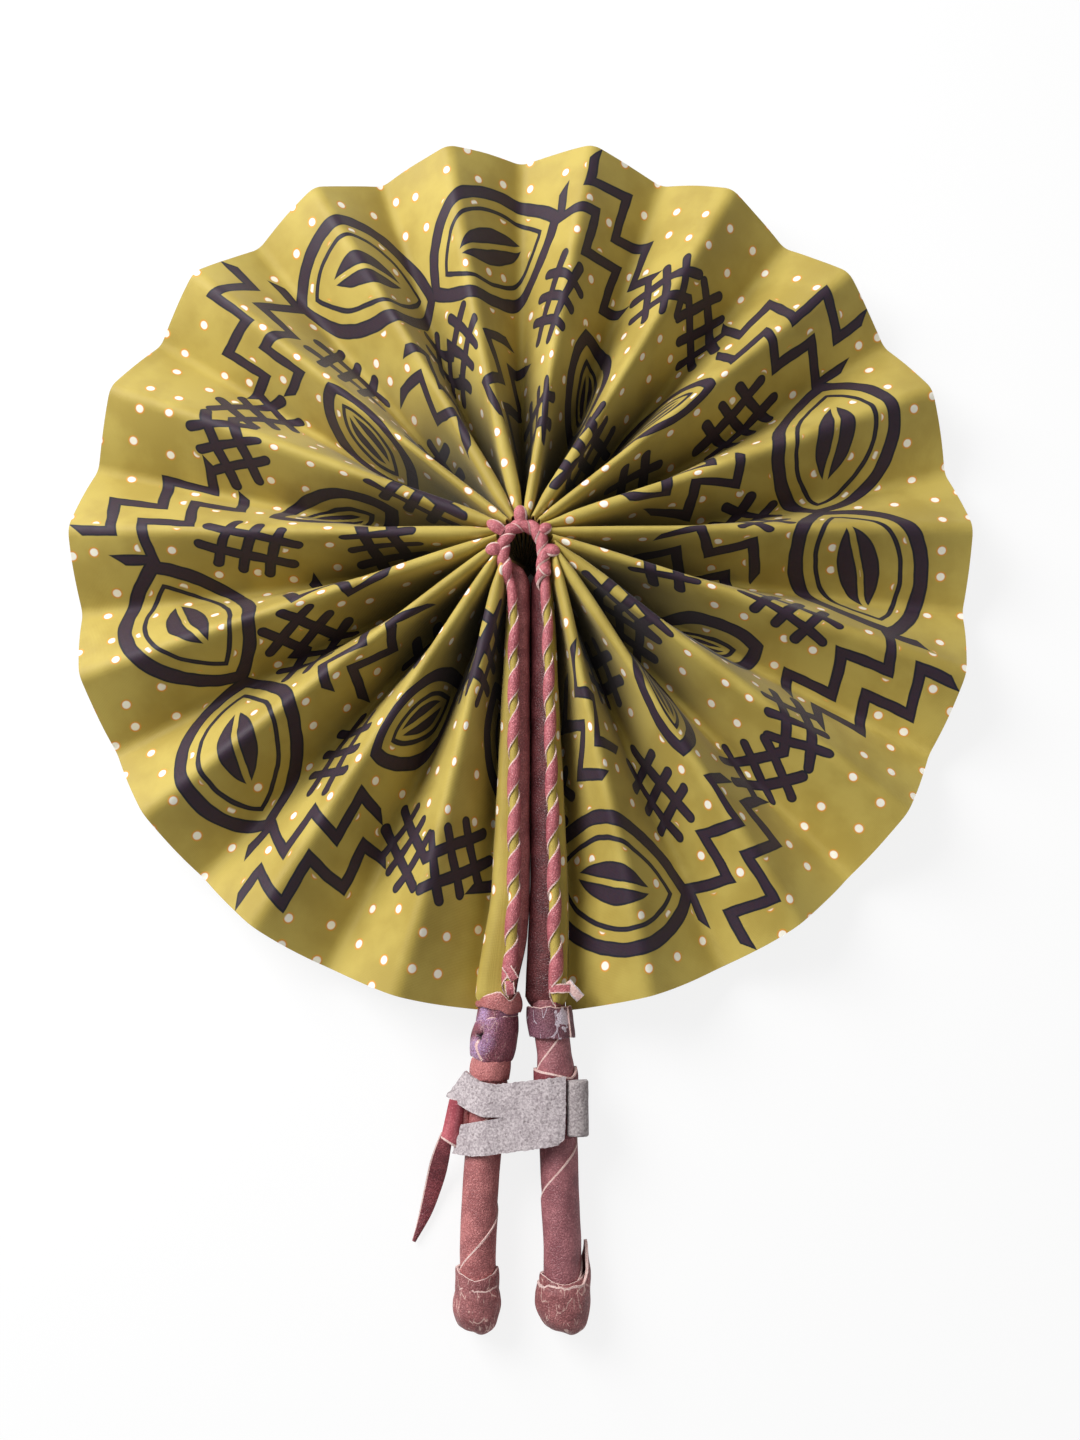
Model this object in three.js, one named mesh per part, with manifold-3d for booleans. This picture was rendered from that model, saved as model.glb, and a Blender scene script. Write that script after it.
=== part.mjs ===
// Pleated hand fan of printed cloth, open to a full circle and lying face up.
// Millimetres, +Z up out of the fan's face, +Y from the handles to the top of the leaf.
// The fan is drawn about the eye of the leaf; the group is then moved so that the box of the
// whole part stands centred on the origin.
import * as THREE from "three";
import Module from "manifold-3d";

// Clearance between neighbouring pieces, and the smaller one across a bound seam
const GAP = 0.3;
const SEAM = 0.55;

// Leaf
const LEAF_RADIUS = 135;
const PLEATS = 18;
const PANEL_WIDTH = 26;
const CLOTH = 0.5;
const EYE_RADIUS = 8.6;
const LEAF_STATIONS = [0, 0.05, 0.12, 0.22, 0.35, 0.5, 0.65, 0.8, 0.91, 1];
const MID_HEIGHT = PANEL_WIDTH / 2;

// Sticks: where the two axes run, as distance from the eye along the handles
const GUARD_TOP = 11;
const RIM_MARGIN = 2;
const BEND = LEAF_RADIUS - RIM_MARGIN;
const GUARD_END = BEND - RIM_MARGIN;
const HANDLE_LENGTH = 88.5;
const BUTT = BEND + HANDLE_LENGTH;
const CAP_LENGTH = 16;
const CAP_TOP = BUTT - CAP_LENGTH;
const AXIS_OFFSET = 3.6;
const GUARD_SPLAY = 0.025;
const HANDLE_SPLAY = 0.055;
const CAP_RADIUS = 6.9;
const CAP_FLAT = 0.4;
const AXIS_FALL = (MID_HEIGHT - CAP_RADIUS + CAP_FLAT) / ((CAP_TOP + BUTT) / 2);

// Guard section: half width and half depth at the eye, and their change per millimetre
const GUARD_HALF_WIDTH = 2.8;
const GUARD_WIDENS = 0.0225;
const GUARD_HALF_DEPTH = 8.85;
const GUARD_THINS = 0.029;
const GUARD_SQUARENESS = 3.6;
const LEATHER = 1;

// Handle, collars and caps
const HANDLE_RADIUS = 5.4;
const CAP_WALL = 1.9;
const LEFT_COLLAR_LENGTH = 15.6;
const LEFT_COLLAR_END = BEND + LEFT_COLLAR_LENGTH;
const LEFT_COLLAR_BAND = 3.6;
const LEFT_COLLAR_RADIUS = 6.9;
const RIGHT_COLLAR_TOP = BEND + RIM_MARGIN;
const RIGHT_COLLAR_LENGTH = 8.5;
const RIGHT_COLLAR_END = RIGHT_COLLAR_TOP + RIGHT_COLLAR_LENGTH;
const RIGHT_COLLAR_RADIUS = 6.7;

// Piping and the lace that binds it
const PIPING_TOP = 6.5;
const PIPING_RADIUS = 1;
const LEFT_PIPING_SPLAY = -0.004;
const RIGHT_PIPING_SPLAY = 0.026;
const LACE = 0.7;
const LACE_WIDTH = 5;
const LACE_TURNS = 9;
const LACE_STEPS = 10;
const LEAST_SELF_GAP = 0.4;

// Lace turns round the eye
const EYE_TURNS = 9;
const EYE_TURN_RADIUS = 1.75;
const EYE_TURN_SHARE = 0.43;
const EYE_TURN_HEIGHT = MID_HEIGHT + EYE_TURN_SHARE * PANEL_WIDTH;

// Strap, its loop and its rolled tail
const STRAP_BELOW = 20.5;
const STRAP_WIDTH = 20;
const STRAP_TOP = BEND + STRAP_BELOW;
const STRAP_END = STRAP_TOP + STRAP_WIDTH;
const STRAP = 1.2;
const LOOP_ABOVE = 2;
const LOOP_WIDTH = 20.5;
const LOOP_TOP = STRAP_TOP - LOOP_ABOVE;
const LOOP_END = LOOP_TOP + LOOP_WIDTH;
const ROLL_RADIUS = 2.7;
const ROLL_LENGTH = 15;
const ROLL_ANGLE = Math.PI / 4;
const SLIT_TIP = -7.6;
const SLIT_FLARE = 0.24;

// Toggle
const TOGGLE_AT = (STRAP_TOP + STRAP_END) / 2;
const TOGGLE_RADIUS = 2.6;
const TOGGLE_LENGTH = 12.5;
const TOGGLE_X = -20.4;
const TOGGLE_TILT = -0.21;
const NECK_RADIUS = 1.3;
const TAIL_LENGTH = 28;
const TAIL_WIDTH = 4;
const TAIL_THICKNESS = 1.1;
const TAIL_ROOT = 1;
const TAIL_TIP = 0.3;
const TAIL_FALL_RUN = 11;
const TAIL_REST = 0.05;

const SIDES = 16;

const cloth = new THREE.MeshStandardMaterial({ color: 0xb89a4a, roughness: 0.85 });
const leather = new THREE.MeshStandardMaterial({ color: 0x9a5c5e, roughness: 0.6 });
const lace = new THREE.MeshStandardMaterial({ color: 0xa85f5c, roughness: 0.6 });
const suede = new THREE.MeshStandardMaterial({ color: 0xa69ba0, roughness: 0.95 });
const wood = new THREE.MeshStandardMaterial({ color: 0xb58d5b, roughness: 0.7 });

const kernel = await Module();
kernel.setup();

/** Stick axis at distance s below the eye: x for the right side, and z. */
function axisX(s) {
  const guard = AXIS_OFFSET + GUARD_SPLAY * Math.min(s, BEND);
  return guard + HANDLE_SPLAY * Math.max(0, s - BEND);
}

function axisZ(s) {
  return MID_HEIGHT - AXIS_FALL * s;
}

function guardHalfWidth(s) {
  return GUARD_HALF_WIDTH + GUARD_WIDENS * s;
}

function guardHalfDepth(s) {
  return GUARD_HALF_DEPTH - GUARD_THINS * s;
}

/** Outer reach of a guard in x, where the leaf begins after the seam. */
function leafSide(s) {
  return axisX(s) + guardHalfWidth(s) + SEAM;
}

/** Solid from rows of points, each row one closed outline; a four-sided face splits along its
 * other diagonal on the outline edges that are named as turned. */
function solidFromRows(rows, capTriangles, turned = []) {
  const count = rows[0].length;
  const points = rows.flat().flatMap((p) => [p.x, p.y, p.z]);
  const index = [];
  for (let i = 0; i + 1 < rows.length; i++) {
    for (let j = 0; j < count; j++) {
      const k = (j + 1) % count;
      const a = i * count + j;
      const b = i * count + k;
      const c = b + count;
      const d = a + count;
      if (turned.includes(j)) index.push(a, b, d, b, c, d);
      else index.push(a, b, c, a, c, d);
    }
  }
  const last = (rows.length - 1) * count;
  for (const [a, b, c] of capTriangles) {
    index.push(a, c, b);
    index.push(last + a, last + b, last + c);
  }
  const geometry = new THREE.BufferGeometry();
  geometry.setAttribute("position", new THREE.Float32BufferAttribute(points, 3));
  geometry.setIndex(index);
  return facingOut(geometry);
}

/** Flips a closed geometry whose faces point inwards. */
function facingOut(geometry) {
  const p = geometry.getAttribute("position");
  const index = Array.from(geometry.index.array);
  const a = new THREE.Vector3();
  const b = new THREE.Vector3();
  const c = new THREE.Vector3();
  let volume = 0;
  for (let i = 0; i < index.length; i += 3) {
    a.fromBufferAttribute(p, index[i]);
    b.fromBufferAttribute(p, index[i + 1]);
    c.fromBufferAttribute(p, index[i + 2]);
    volume += a.dot(b.cross(c));
  }
  if (volume < 0) {
    index.reverse();
    geometry.setIndex(index);
  }
  geometry.computeVertexNormals();
  return geometry;
}

function fanTriangles(count) {
  const out = [];
  for (let i = 1; i + 1 < count; i++) out.push([0, i, i + 1]);
  return out;
}

/** Outline round a stick axis at distance s: half width a, half depth b, squareness n. */
function outline(side, s, a, b, n) {
  const out = [];
  for (let i = 0; i < SIDES; i++) {
    const t = (2 * Math.PI * (i + 0.5)) / SIDES;
    const c = Math.cos(t);
    const d = Math.sin(t);
    const x = a * Math.sign(c) * Math.abs(c) ** (2 / n);
    const z = b * Math.sign(d) * Math.abs(d) ** (2 / n);
    out.push(new THREE.Vector3(side * (axisX(s) + x), -s, Math.max(0, axisZ(s) + z)));
  }
  return out;
}

/** Solid along a stick from stations of [s, half width, half depth, squareness]. */
function bar(side, stations) {
  const rows = stations.map(([s, a, b, n]) => outline(side, s, a, b, n));
  return solidFromRows(rows, fanTriangles(SIDES));
}

/** Sleeve along a stick, open at both ends; wall is its thickness. */
function sleeve(side, stations, wall) {
  const outer = stations.map(([s, a, b, n]) => outline(side, s, a, b, n));
  const inner = stations.map(([s, a, b, n]) => outline(side, s, a - wall, b - wall, n));
  const rows = [...outer, ...inner.reverse(), outer[0]];
  return closedTube(rows);
}

/** Ring-shaped solid: the last row meets the first again. */
function closedTube(rows) {
  const count = rows[0].length;
  const open = rows.slice(0, -1);
  const points = open.flat().flatMap((p) => [p.x, p.y, p.z]);
  const index = [];
  for (let i = 0; i < open.length; i++) {
    const next = (i + 1) % open.length;
    for (let j = 0; j < count; j++) {
      const k = (j + 1) % count;
      const a = i * count + j;
      const b = i * count + k;
      const c = next * count + k;
      const d = next * count + j;
      index.push(a, b, c, a, c, d);
    }
  }
  const geometry = new THREE.BufferGeometry();
  geometry.setAttribute("position", new THREE.Float32BufferAttribute(points, 3));
  geometry.setIndex(index);
  return facingOut(geometry);
}

function named(name, geometry, material) {
  const mesh = new THREE.Mesh(geometry, material);
  mesh.name = name;
  return mesh;
}

/** One solid less another. */
function less(geometry, cutter) {
  const cut = toKernel(geometry).subtract(toKernel(cutter)).getMesh();
  const out = new THREE.BufferGeometry();
  const points = Array.from(cut.vertProperties);
  out.setAttribute("position", new THREE.Float32BufferAttribute(points, 3));
  out.setIndex(Array.from(cut.triVerts));
  out.computeVertexNormals();
  return out;
}

function toKernel(geometry) {
  return new kernel.Manifold(
    new kernel.Mesh({
      numProp: 3,
      vertProperties: new Float32Array(geometry.getAttribute("position").array),
      triVerts: new Uint32Array(geometry.index.array),
    }),
  );
}

/** Angle, at radius r, between the handles' direction and the edge of the leaf. */
function edgeAngle(r) {
  const grow = leafSide(1) - leafSide(0);
  const start = leafSide(0);
  const y = (-start * grow + Math.sqrt(r * r * (1 + grow * grow) - start * start)) / (1 + grow * grow);
  return Math.atan2(start + grow * y, y);
}

/** Direction of fold j at radius r; folds run from the left guard over the top to the right. */
function foldAngle(j, r) {
  const edge = edgeAngle(r);
  return 1.5 * Math.PI - edge - (j / (2 * PLEATS)) * (2 * Math.PI - 2 * edge);
}

/** Section of a pleat at radius r: two panels that meet at a ridge, each of the cloth's thickness. */
function pleatSection(k, r) {
  const ridge = foldAngle(2 * k + 1, r);
  const chord = 2 * r * Math.sin((foldAngle(0, r) - foldAngle(1, r)) / 2);
  const rise = Math.sqrt(PANEL_WIDTH ** 2 - chord ** 2);
  const nx = rise / PANEL_WIDTH;
  const nz = chord / PANEL_WIDTH;
  const reach = chord - (GAP + nx * CLOTH) / 2;
  const top = MID_HEIGHT + rise / 2;
  const low = top - rise;
  const x = (nx * CLOTH) / 2;
  const z = (nz * CLOTH) / 2;
  const flat = [
    [-reach - x, low + z],
    [-x, top + z],
    [x, top + z],
    [reach + x, low + z],
    [reach - x, low - z],
    [0, top - CLOTH / (2 * nz)],
    [-reach + x, low - z],
  ];
  // across the pleat the section follows the circle of radius r
  return flat.map(([across, height]) => {
    const angle = ridge - across / r;
    return new THREE.Vector3(r * Math.cos(angle), r * Math.sin(angle), Math.max(0, height));
  });
}

const PLEAT_CAP = [
  [0, 1, 5],
  [0, 5, 6],
  [1, 2, 5],
  [2, 3, 5],
  [3, 4, 5],
];

// The faces of one panel split the same way above and below, so the cloth keeps its thickness
const PLEAT_TURNED = [2, 5];

function pleat(k) {
  const span = LEAF_RADIUS - EYE_RADIUS;
  const rows = LEAF_STATIONS.map((t) => pleatSection(k, EYE_RADIUS + span * t));
  return solidFromRows(rows, PLEAT_CAP, PLEAT_TURNED);
}

/** Lace turn round the eye, over two pleats. */
function eyeTurn(k) {
  const mean = EYE_RADIUS - GAP - SEAM - EYE_TURN_RADIUS;
  const perTurn = (2 * PLEATS) / EYE_TURNS;
  const from = foldAngle(k * perTurn, EYE_RADIUS);
  const to = foldAngle((k + 1) * perTurn, EYE_RADIUS);
  const trim = GAP / mean;
  const steps = [0.08, 0.3, 0.7, 0.92];
  const swell = [0.72, 1, 1, 0.72];
  const rows = steps.map((t, i) => {
    const angle = from - trim - t * (from - to - 2 * trim);
    const row = [];
    for (let j = 0; j < 8; j++) {
      const turn = (2 * Math.PI * j) / 8;
      const r = mean + EYE_TURN_RADIUS * swell[i] * Math.cos(turn);
      const z = EYE_TURN_HEIGHT + EYE_TURN_RADIUS * swell[i] * Math.sin(turn);
      row.push(new THREE.Vector3(r * Math.cos(angle), r * Math.sin(angle), z));
    }
    return row;
  });
  return solidFromRows(rows, fanTriangles(8));
}

/** Middle of the piping at distance s. */
function pipingAt(side, s) {
  const bound = PIPING_RADIUS + GAP + LACE;
  const splay = side < 0 ? LEFT_PIPING_SPLAY : RIGHT_PIPING_SPLAY;
  const x = AXIS_OFFSET + GUARD_HALF_WIDTH - bound + splay * s;
  const z = axisZ(s) + guardHalfDepth(s) + GAP + bound;
  return new THREE.Vector3(side * x, -s, z);
}

function piping(side) {
  const rows = [PIPING_TOP, GUARD_END].map((s) => {
    const middle = pipingAt(side, s);
    const row = [];
    for (let j = 0; j < 8; j++) {
      const turn = (2 * Math.PI * j) / 8;
      const x = middle.x + PIPING_RADIUS * Math.cos(turn);
      row.push(new THREE.Vector3(x, middle.y, middle.z + PIPING_RADIUS * Math.sin(turn)));
    }
    return row;
  });
  return solidFromRows(rows, fanTriangles(8));
}

/** Flat lace wound round the piping in one unbroken run. */
function edgeLacing(side) {
  const near = PIPING_RADIUS + GAP;
  const far = near + LACE;
  const run = GUARD_END - PIPING_TOP - LACE_WIDTH;
  const count = LACE_TURNS * LACE_STEPS;
  const rows = [];
  for (let i = 0; i <= count; i++) {
    const turn = -side * ((2 * Math.PI * i) / LACE_STEPS);
    const s = PIPING_TOP + LACE_WIDTH / 2 + (run * i) / count;
    const corner = (radius, along) => {
      const middle = pipingAt(side, s + along);
      const x = middle.x + radius * Math.cos(turn);
      return new THREE.Vector3(x, middle.y, middle.z + radius * Math.sin(turn));
    };
    const half = LACE_WIDTH / 2;
    rows.push([corner(near, -half), corner(far, -half), corner(far, half), corner(near, half)]);
  }
  reportSelfGap(side < 0 ? "left_edge_lacing" : "right_edge_lacing", rows);
  return solidFromRows(rows, fanTriangles(4));
}

/** Prints the least distance between points of a winding that lie a turn or more apart. */
function reportSelfGap(name, rows) {
  let least = Infinity;
  for (let i = 0; i < rows.length; i++) {
    for (let j = i + LACE_STEPS; j < rows.length; j++) {
      for (const p of rows[i]) {
        for (const q of rows[j]) least = Math.min(least, p.distanceTo(q));
      }
    }
  }
  const verdict = least > LEAST_SELF_GAP ? "clear" : "too close";
  console.log(`${name}: least gap to itself ${least.toFixed(2)} mm, ${verdict}`);
}

/** Everything fixed to one stick; side is -1 for the left and 1 for the right. */
function guard(side) {
  const word = side < 0 ? "left" : "right";
  const group = new THREE.Group();
  group.name = `${word}_guard`;
  const inset = LEATHER + GAP;
  const guardAt = (s, less) => [s, guardHalfWidth(s) - less, guardHalfDepth(s) - less, GUARD_SQUARENESS];
  const handleAt = (s, radius) => [s, radius, radius, 2];
  const capFloor = BUTT - CAP_WALL;
  const core = HANDLE_RADIUS - inset;
  group.add(
    named(
      `${word}_stick`,
      bar(side, [
        guardAt(GUARD_TOP + GAP, inset),
        guardAt((GUARD_TOP + GUARD_END) / 2, inset),
        guardAt(GUARD_END, inset),
        handleAt(BEND + GAP, core),
        handleAt(capFloor - GAP, core),
      ]),
      wood,
    ),
    named(
      `${word}_guard_cover`,
      sleeve(
        side,
        [guardAt(GUARD_TOP, 0), guardAt((GUARD_TOP + GUARD_END) / 2, 0), guardAt(GUARD_END, 0)],
        LEATHER,
      ),
      leather,
    ),
    named(`${word}_piping`, piping(side), cloth),
    named(`${word}_edge_lacing`, edgeLacing(side), lace),
    named(
      `${word}_handle_wrap`,
      sleeve(side, [handleAt(BEND + GAP, HANDLE_RADIUS), handleAt(capFloor - GAP, HANDLE_RADIUS)], LEATHER),
      leather,
    ),
    named(`${word}_end_cap`, endCap(side), leather),
  );
  return group;
}

/** Leather cup over the butt of a handle, flat where it lies on the table. */
function endCap(side) {
  const bore = HANDLE_RADIUS + GAP;
  const floor = BUTT - CAP_WALL;
  const at = (s, radius) => outline(side, s, radius, radius, 2);
  const bevel = CAP_FLAT * 2;
  const outer = [
    at(floor, bore),
    at(CAP_TOP, bore),
    at(CAP_TOP, CAP_RADIUS - GAP),
    at(CAP_TOP + bevel, CAP_RADIUS),
    at(BUTT - bevel, CAP_RADIUS),
    at(BUTT, CAP_RADIUS - bevel),
  ];
  return solidFromRows(outer, fanTriangles(SIDES));
}

/** Leather ring round a handle: stations of [s, outer radius]. */
function ring(side, stations) {
  const bore = HANDLE_RADIUS + GAP;
  const at = (s, radius) => outline(side, s, radius, radius, 2);
  const outer = stations.map(([s, radius]) => at(s, radius));
  const inner = stations.map(([s]) => at(s, bore)).reverse();
  return closedTube([...outer, ...inner, outer[0]]);
}

/** Middle line of the strap, seen along the handles, from its right end to its lip. */
function strapLine() {
  const s = (STRAP_TOP + STRAP_END) / 2;
  const x = axisX(s);
  const z = axisZ(s);
  const over = HANDLE_RADIUS + 2 * GAP + LEATHER + STRAP / 2;
  const lip = HANDLE_RADIUS + 2 * SEAM + STRAP / 2;
  const knots = [
    [x + over * 0.36, z + over],
    [x - over * 0.35, z + over],
    [0, z + over - GAP],
    [-x + lip * 0.25, z + lip - SEAM],
    [-x - lip * 0.42, z + lip * 0.84],
    [-x - lip * 0.86, z + lip * 0.46],
    [-x - lip, z],
    [-x - lip, z - lip * 0.42],
  ];
  const curve = new THREE.CatmullRomCurve3(knots.map(([a, b]) => new THREE.Vector3(a, 0, b)));
  return curve.getPoints(20);
}

function strapBand() {
  const line = strapLine();
  const rows = line.map((p, i) => {
    const before = line[Math.max(0, i - 1)];
    const after = line[Math.min(line.length - 1, i + 1)];
    const run = after.clone().sub(before).normalize();
    const out = new THREE.Vector3(run.z, 0, -run.x).multiplyScalar(STRAP / 2);
    const high = p.clone().add(out);
    const low = p.clone().sub(out);
    return [
      new THREE.Vector3(high.x, -STRAP_TOP, high.z),
      new THREE.Vector3(high.x, -STRAP_END, high.z),
      new THREE.Vector3(low.x, -STRAP_END, low.z),
      new THREE.Vector3(low.x, -STRAP_TOP, low.z),
    ];
  });
  const reach = 2 * SLIT_TIP;
  const wide = SLIT_FLARE * (SLIT_TIP - 2 * reach);
  const wedge = new THREE.Shape([
    new THREE.Vector2(SLIT_TIP, -TOGGLE_AT),
    new THREE.Vector2(2 * reach, -TOGGLE_AT + wide),
    new THREE.Vector2(2 * reach, -TOGGLE_AT - wide),
  ]);
  const cutter = new THREE.ExtrudeGeometry(wedge, { depth: LEAF_RADIUS, bevelEnabled: false });
  cutter.translate(0, 0, -LEAF_RADIUS / 2);
  return less(solidFromRows(rows, fanTriangles(4)), indexed(cutter));
}

/** Same geometry with shared corners, as the solid kernel needs it. */
function indexed(geometry) {
  const p = geometry.getAttribute("position");
  const seen = new Map();
  const points = [];
  const index = [];
  for (let i = 0; i < p.count; i++) {
    const key = [p.getX(i), p.getY(i), p.getZ(i)].map((v) => v.toFixed(4)).join(",");
    if (!seen.has(key)) {
      seen.set(key, points.length / 3);
      points.push(p.getX(i), p.getY(i), p.getZ(i));
    }
    index.push(seen.get(key));
  }
  const out = new THREE.BufferGeometry();
  out.setAttribute("position", new THREE.Float32BufferAttribute(points, 3));
  out.setIndex(index);
  return facingOut(out);
}

function strapRoll() {
  const s = (STRAP_TOP + STRAP_END) / 2;
  const away = HANDLE_RADIUS + 2 * GAP + LEATHER + ROLL_RADIUS;
  const geometry = new THREE.CylinderGeometry(ROLL_RADIUS, ROLL_RADIUS, ROLL_LENGTH, SIDES);
  const mesh = named("strap_roll", geometry, suede);
  const x = axisX(s) + away * Math.cos(ROLL_ANGLE);
  const z = axisZ(s) + away * Math.sin(ROLL_ANGLE);
  mesh.position.set(x, -STRAP_TOP - ROLL_LENGTH / 2, z);
  mesh.rotation.z = HANDLE_SPLAY;
  return mesh;
}

function strap() {
  const group = new THREE.Group();
  group.name = "strap";
  const loopRadius = HANDLE_RADIUS + GAP + LEATHER;
  group.add(
    named("strap_band", strapBand(), suede),
    named("strap_loop", ring(1, [[LOOP_TOP, loopRadius], [LOOP_END, loopRadius]]), leather),
    strapRoll(),
  );
  return group;
}

/** Rolled leather button beside the left handle, its neck and its pointed tail. */
function toggle() {
  const group = new THREE.Group();
  group.name = "toggle";
  group.position.set(0, -TOGGLE_AT, axisZ(TOGGLE_AT));
  const roll = named(
    "toggle_roll",
    new THREE.CylinderGeometry(TOGGLE_RADIUS, TOGGLE_RADIUS, TOGGLE_LENGTH, SIDES),
    leather,
  );
  roll.position.x = TOGGLE_X;
  roll.rotation.z = TOGGLE_TILT;
  const from = -axisX(TOGGLE_AT) - HANDLE_RADIUS - GAP;
  const to = TOGGLE_X + TOGGLE_RADIUS / Math.cos(TOGGLE_TILT) + GAP;
  const neck = named(
    "toggle_neck",
    new THREE.CylinderGeometry(NECK_RADIUS, NECK_RADIUS, from - to, SIDES / 2),
    leather,
  );
  neck.position.x = (from + to) / 2;
  neck.rotation.z = Math.PI / 2;
  group.add(roll, neck, toggleTail());
  return group;
}

/** Pointed strip that falls from the end of the roll and then lies along the table. */
function toggleTail() {
  const drop = axisZ(TOGGLE_AT) - TAIL_REST - TAIL_THICKNESS / 2;
  const stations = [
    [0, TAIL_ROOT],
    [TAIL_WIDTH * 0.6, TAIL_WIDTH],
    [TAIL_FALL_RUN * 0.45, TAIL_WIDTH],
    [TAIL_FALL_RUN * 0.75, TAIL_WIDTH],
    [TAIL_FALL_RUN, TAIL_WIDTH],
    [TAIL_LENGTH * 0.6, TAIL_WIDTH],
    [TAIL_LENGTH, TAIL_TIP],
  ];
  const rows = stations.map(([along, width]) => {
    const t = Math.min(1, along / TAIL_FALL_RUN);
    const z = -drop * t * t * (3 - 2 * t);
    const slope = (6 * t * (1 - t) * drop) / TAIL_FALL_RUN;
    const lift = (TAIL_THICKNESS / 2) * Math.hypot(1, slope);
    return [
      new THREE.Vector3(-width / 2, -along, z + lift),
      new THREE.Vector3(width / 2, -along, z + lift),
      new THREE.Vector3(width / 2, -along, z - lift),
      new THREE.Vector3(-width / 2, -along, z - lift),
    ];
  });
  const mesh = named("toggle_tail", solidFromRows(rows, fanTriangles(4)), leather);
  const below = TOGGLE_LENGTH / 2 + GAP;
  mesh.position.set(TOGGLE_X + below * Math.sin(TOGGLE_TILT), -below * Math.cos(TOGGLE_TILT), 0);
  mesh.rotation.z = TOGGLE_TILT;
  return mesh;
}

function leaf() {
  const group = new THREE.Group();
  group.name = "leaf";
  for (let k = 0; k < PLEATS; k++) {
    const number = String(k + 1).padStart(2, "0");
    group.add(named(`leaf_pleat_${number}`, pleat(k), cloth));
  }
  for (let k = 0; k < EYE_TURNS; k++) {
    group.add(named(`eye_lace_${k + 1}`, eyeTurn(k), lace));
  }
  return group;
}

const left = guard(-1);
left.add(
  named(
    "left_collar",
    ring(-1, [
      [BEND + GAP, LEFT_COLLAR_RADIUS - GAP],
      [BEND + LEFT_COLLAR_BAND, LEFT_COLLAR_RADIUS],
      [LEFT_COLLAR_END, LEFT_COLLAR_RADIUS - GAP],
    ]),
    leather,
  ),
  named(
    "left_collar_band",
    ring(-1, [
      [LEFT_COLLAR_END + GAP, LEFT_COLLAR_RADIUS - 2 * GAP],
      [LEFT_COLLAR_END + LEFT_COLLAR_BAND, LEFT_COLLAR_RADIUS - 2 * GAP],
    ]),
    leather,
  ),
);
const right = guard(1);
right.add(
  named(
    "right_collar",
    ring(1, [
      [RIGHT_COLLAR_TOP, RIGHT_COLLAR_RADIUS - GAP],
      [(RIGHT_COLLAR_TOP + RIGHT_COLLAR_END) / 2, RIGHT_COLLAR_RADIUS],
      [RIGHT_COLLAR_END, RIGHT_COLLAR_RADIUS - GAP],
    ]),
    leather,
  ),
);

const fan = new THREE.Group();
fan.name = "hand_fan";
fan.add(leaf(), left, right, strap(), toggle());

const box = new THREE.Box3().setFromObject(fan, true);
const middle = box.getCenter(new THREE.Vector3());
const shift = new THREE.Group();
fan.position.set(-middle.x, -middle.y, -box.min.z);
shift.add(fan);

export default shift;
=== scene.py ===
"""Blender scene of a round pleated cloth hand fan, open and lying on a pale floor.

Lengths are millimetres about the eye of the leaf until a point is placed, which gives metres
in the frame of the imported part.
"""

from __future__ import annotations

import logging
import math
import random
from dataclasses import dataclass
from enum import Enum
from typing import Callable, Sequence

import bpy
from mathutils import Color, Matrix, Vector, noise

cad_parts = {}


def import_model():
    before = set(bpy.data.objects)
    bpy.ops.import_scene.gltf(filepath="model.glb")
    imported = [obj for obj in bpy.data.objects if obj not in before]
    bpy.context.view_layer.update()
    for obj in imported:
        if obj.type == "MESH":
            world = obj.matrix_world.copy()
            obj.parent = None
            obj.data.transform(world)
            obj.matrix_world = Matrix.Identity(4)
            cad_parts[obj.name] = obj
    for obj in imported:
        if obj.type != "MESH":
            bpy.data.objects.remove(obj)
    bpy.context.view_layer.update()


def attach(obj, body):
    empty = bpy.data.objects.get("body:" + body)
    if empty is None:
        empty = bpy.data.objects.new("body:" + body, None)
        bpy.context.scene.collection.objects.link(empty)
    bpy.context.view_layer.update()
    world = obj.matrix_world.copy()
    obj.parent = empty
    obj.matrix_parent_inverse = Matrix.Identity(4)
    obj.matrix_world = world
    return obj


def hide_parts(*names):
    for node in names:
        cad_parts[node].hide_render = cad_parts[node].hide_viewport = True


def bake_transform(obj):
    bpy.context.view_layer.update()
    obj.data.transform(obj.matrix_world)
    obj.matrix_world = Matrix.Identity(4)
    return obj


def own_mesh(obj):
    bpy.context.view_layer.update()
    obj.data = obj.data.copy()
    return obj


LOG = logging.getLogger("hand_fan")
MM = 0.001
PER_METRE = 1000.0
TAU = 2.0 * math.pi
QUARTER = math.pi / 2.0
CHANNEL_TOP = 255
WELD_GAP = 2e-6
SMOOTH_ANGLE = math.radians(50.0)
ORIGIN = (0.0, 0.0, 0.0)
MIX_INPUTS = (0, 6, 7)
MIX_OUTPUT = 2
Socket = bpy.types.NodeSocket
Amount = float | Socket
Span = tuple[float, float]
Point = tuple[float, float, float]
Rgb = tuple[int, int, int]
Colour = tuple[float, float, float, float]
Ramp = tuple[float, float, float, float]
Line = tuple[tuple[float, ...], ...]
Rule = Callable[[float, float], Vector]
Strip = Callable[[float, float], Span]
Marks = Callable[[float, float], Point]


def smooth(low: float, high: float, value: float) -> float:
    """Smooth step from 0 at low to 1 at high."""
    t = min(1.0, max(0.0, (value - low) / (high - low)))
    return t * t * (3.0 - 2.0 * t)


def crown(u: float) -> float:
    """Arch over the width of a strip, 0 at its edges and 1 in its middle."""
    return 1.0 - (2.0 * u - 1.0) ** 2


def linear(rgb: Rgb) -> Colour:
    """Linear colour and an alpha of 1, from red, green and blue of 0 to 255."""
    shown = Color([value / CHANNEL_TOP for value in rgb])
    return (*shown.from_srgb_to_scene_linear(), 1.0)


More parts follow.
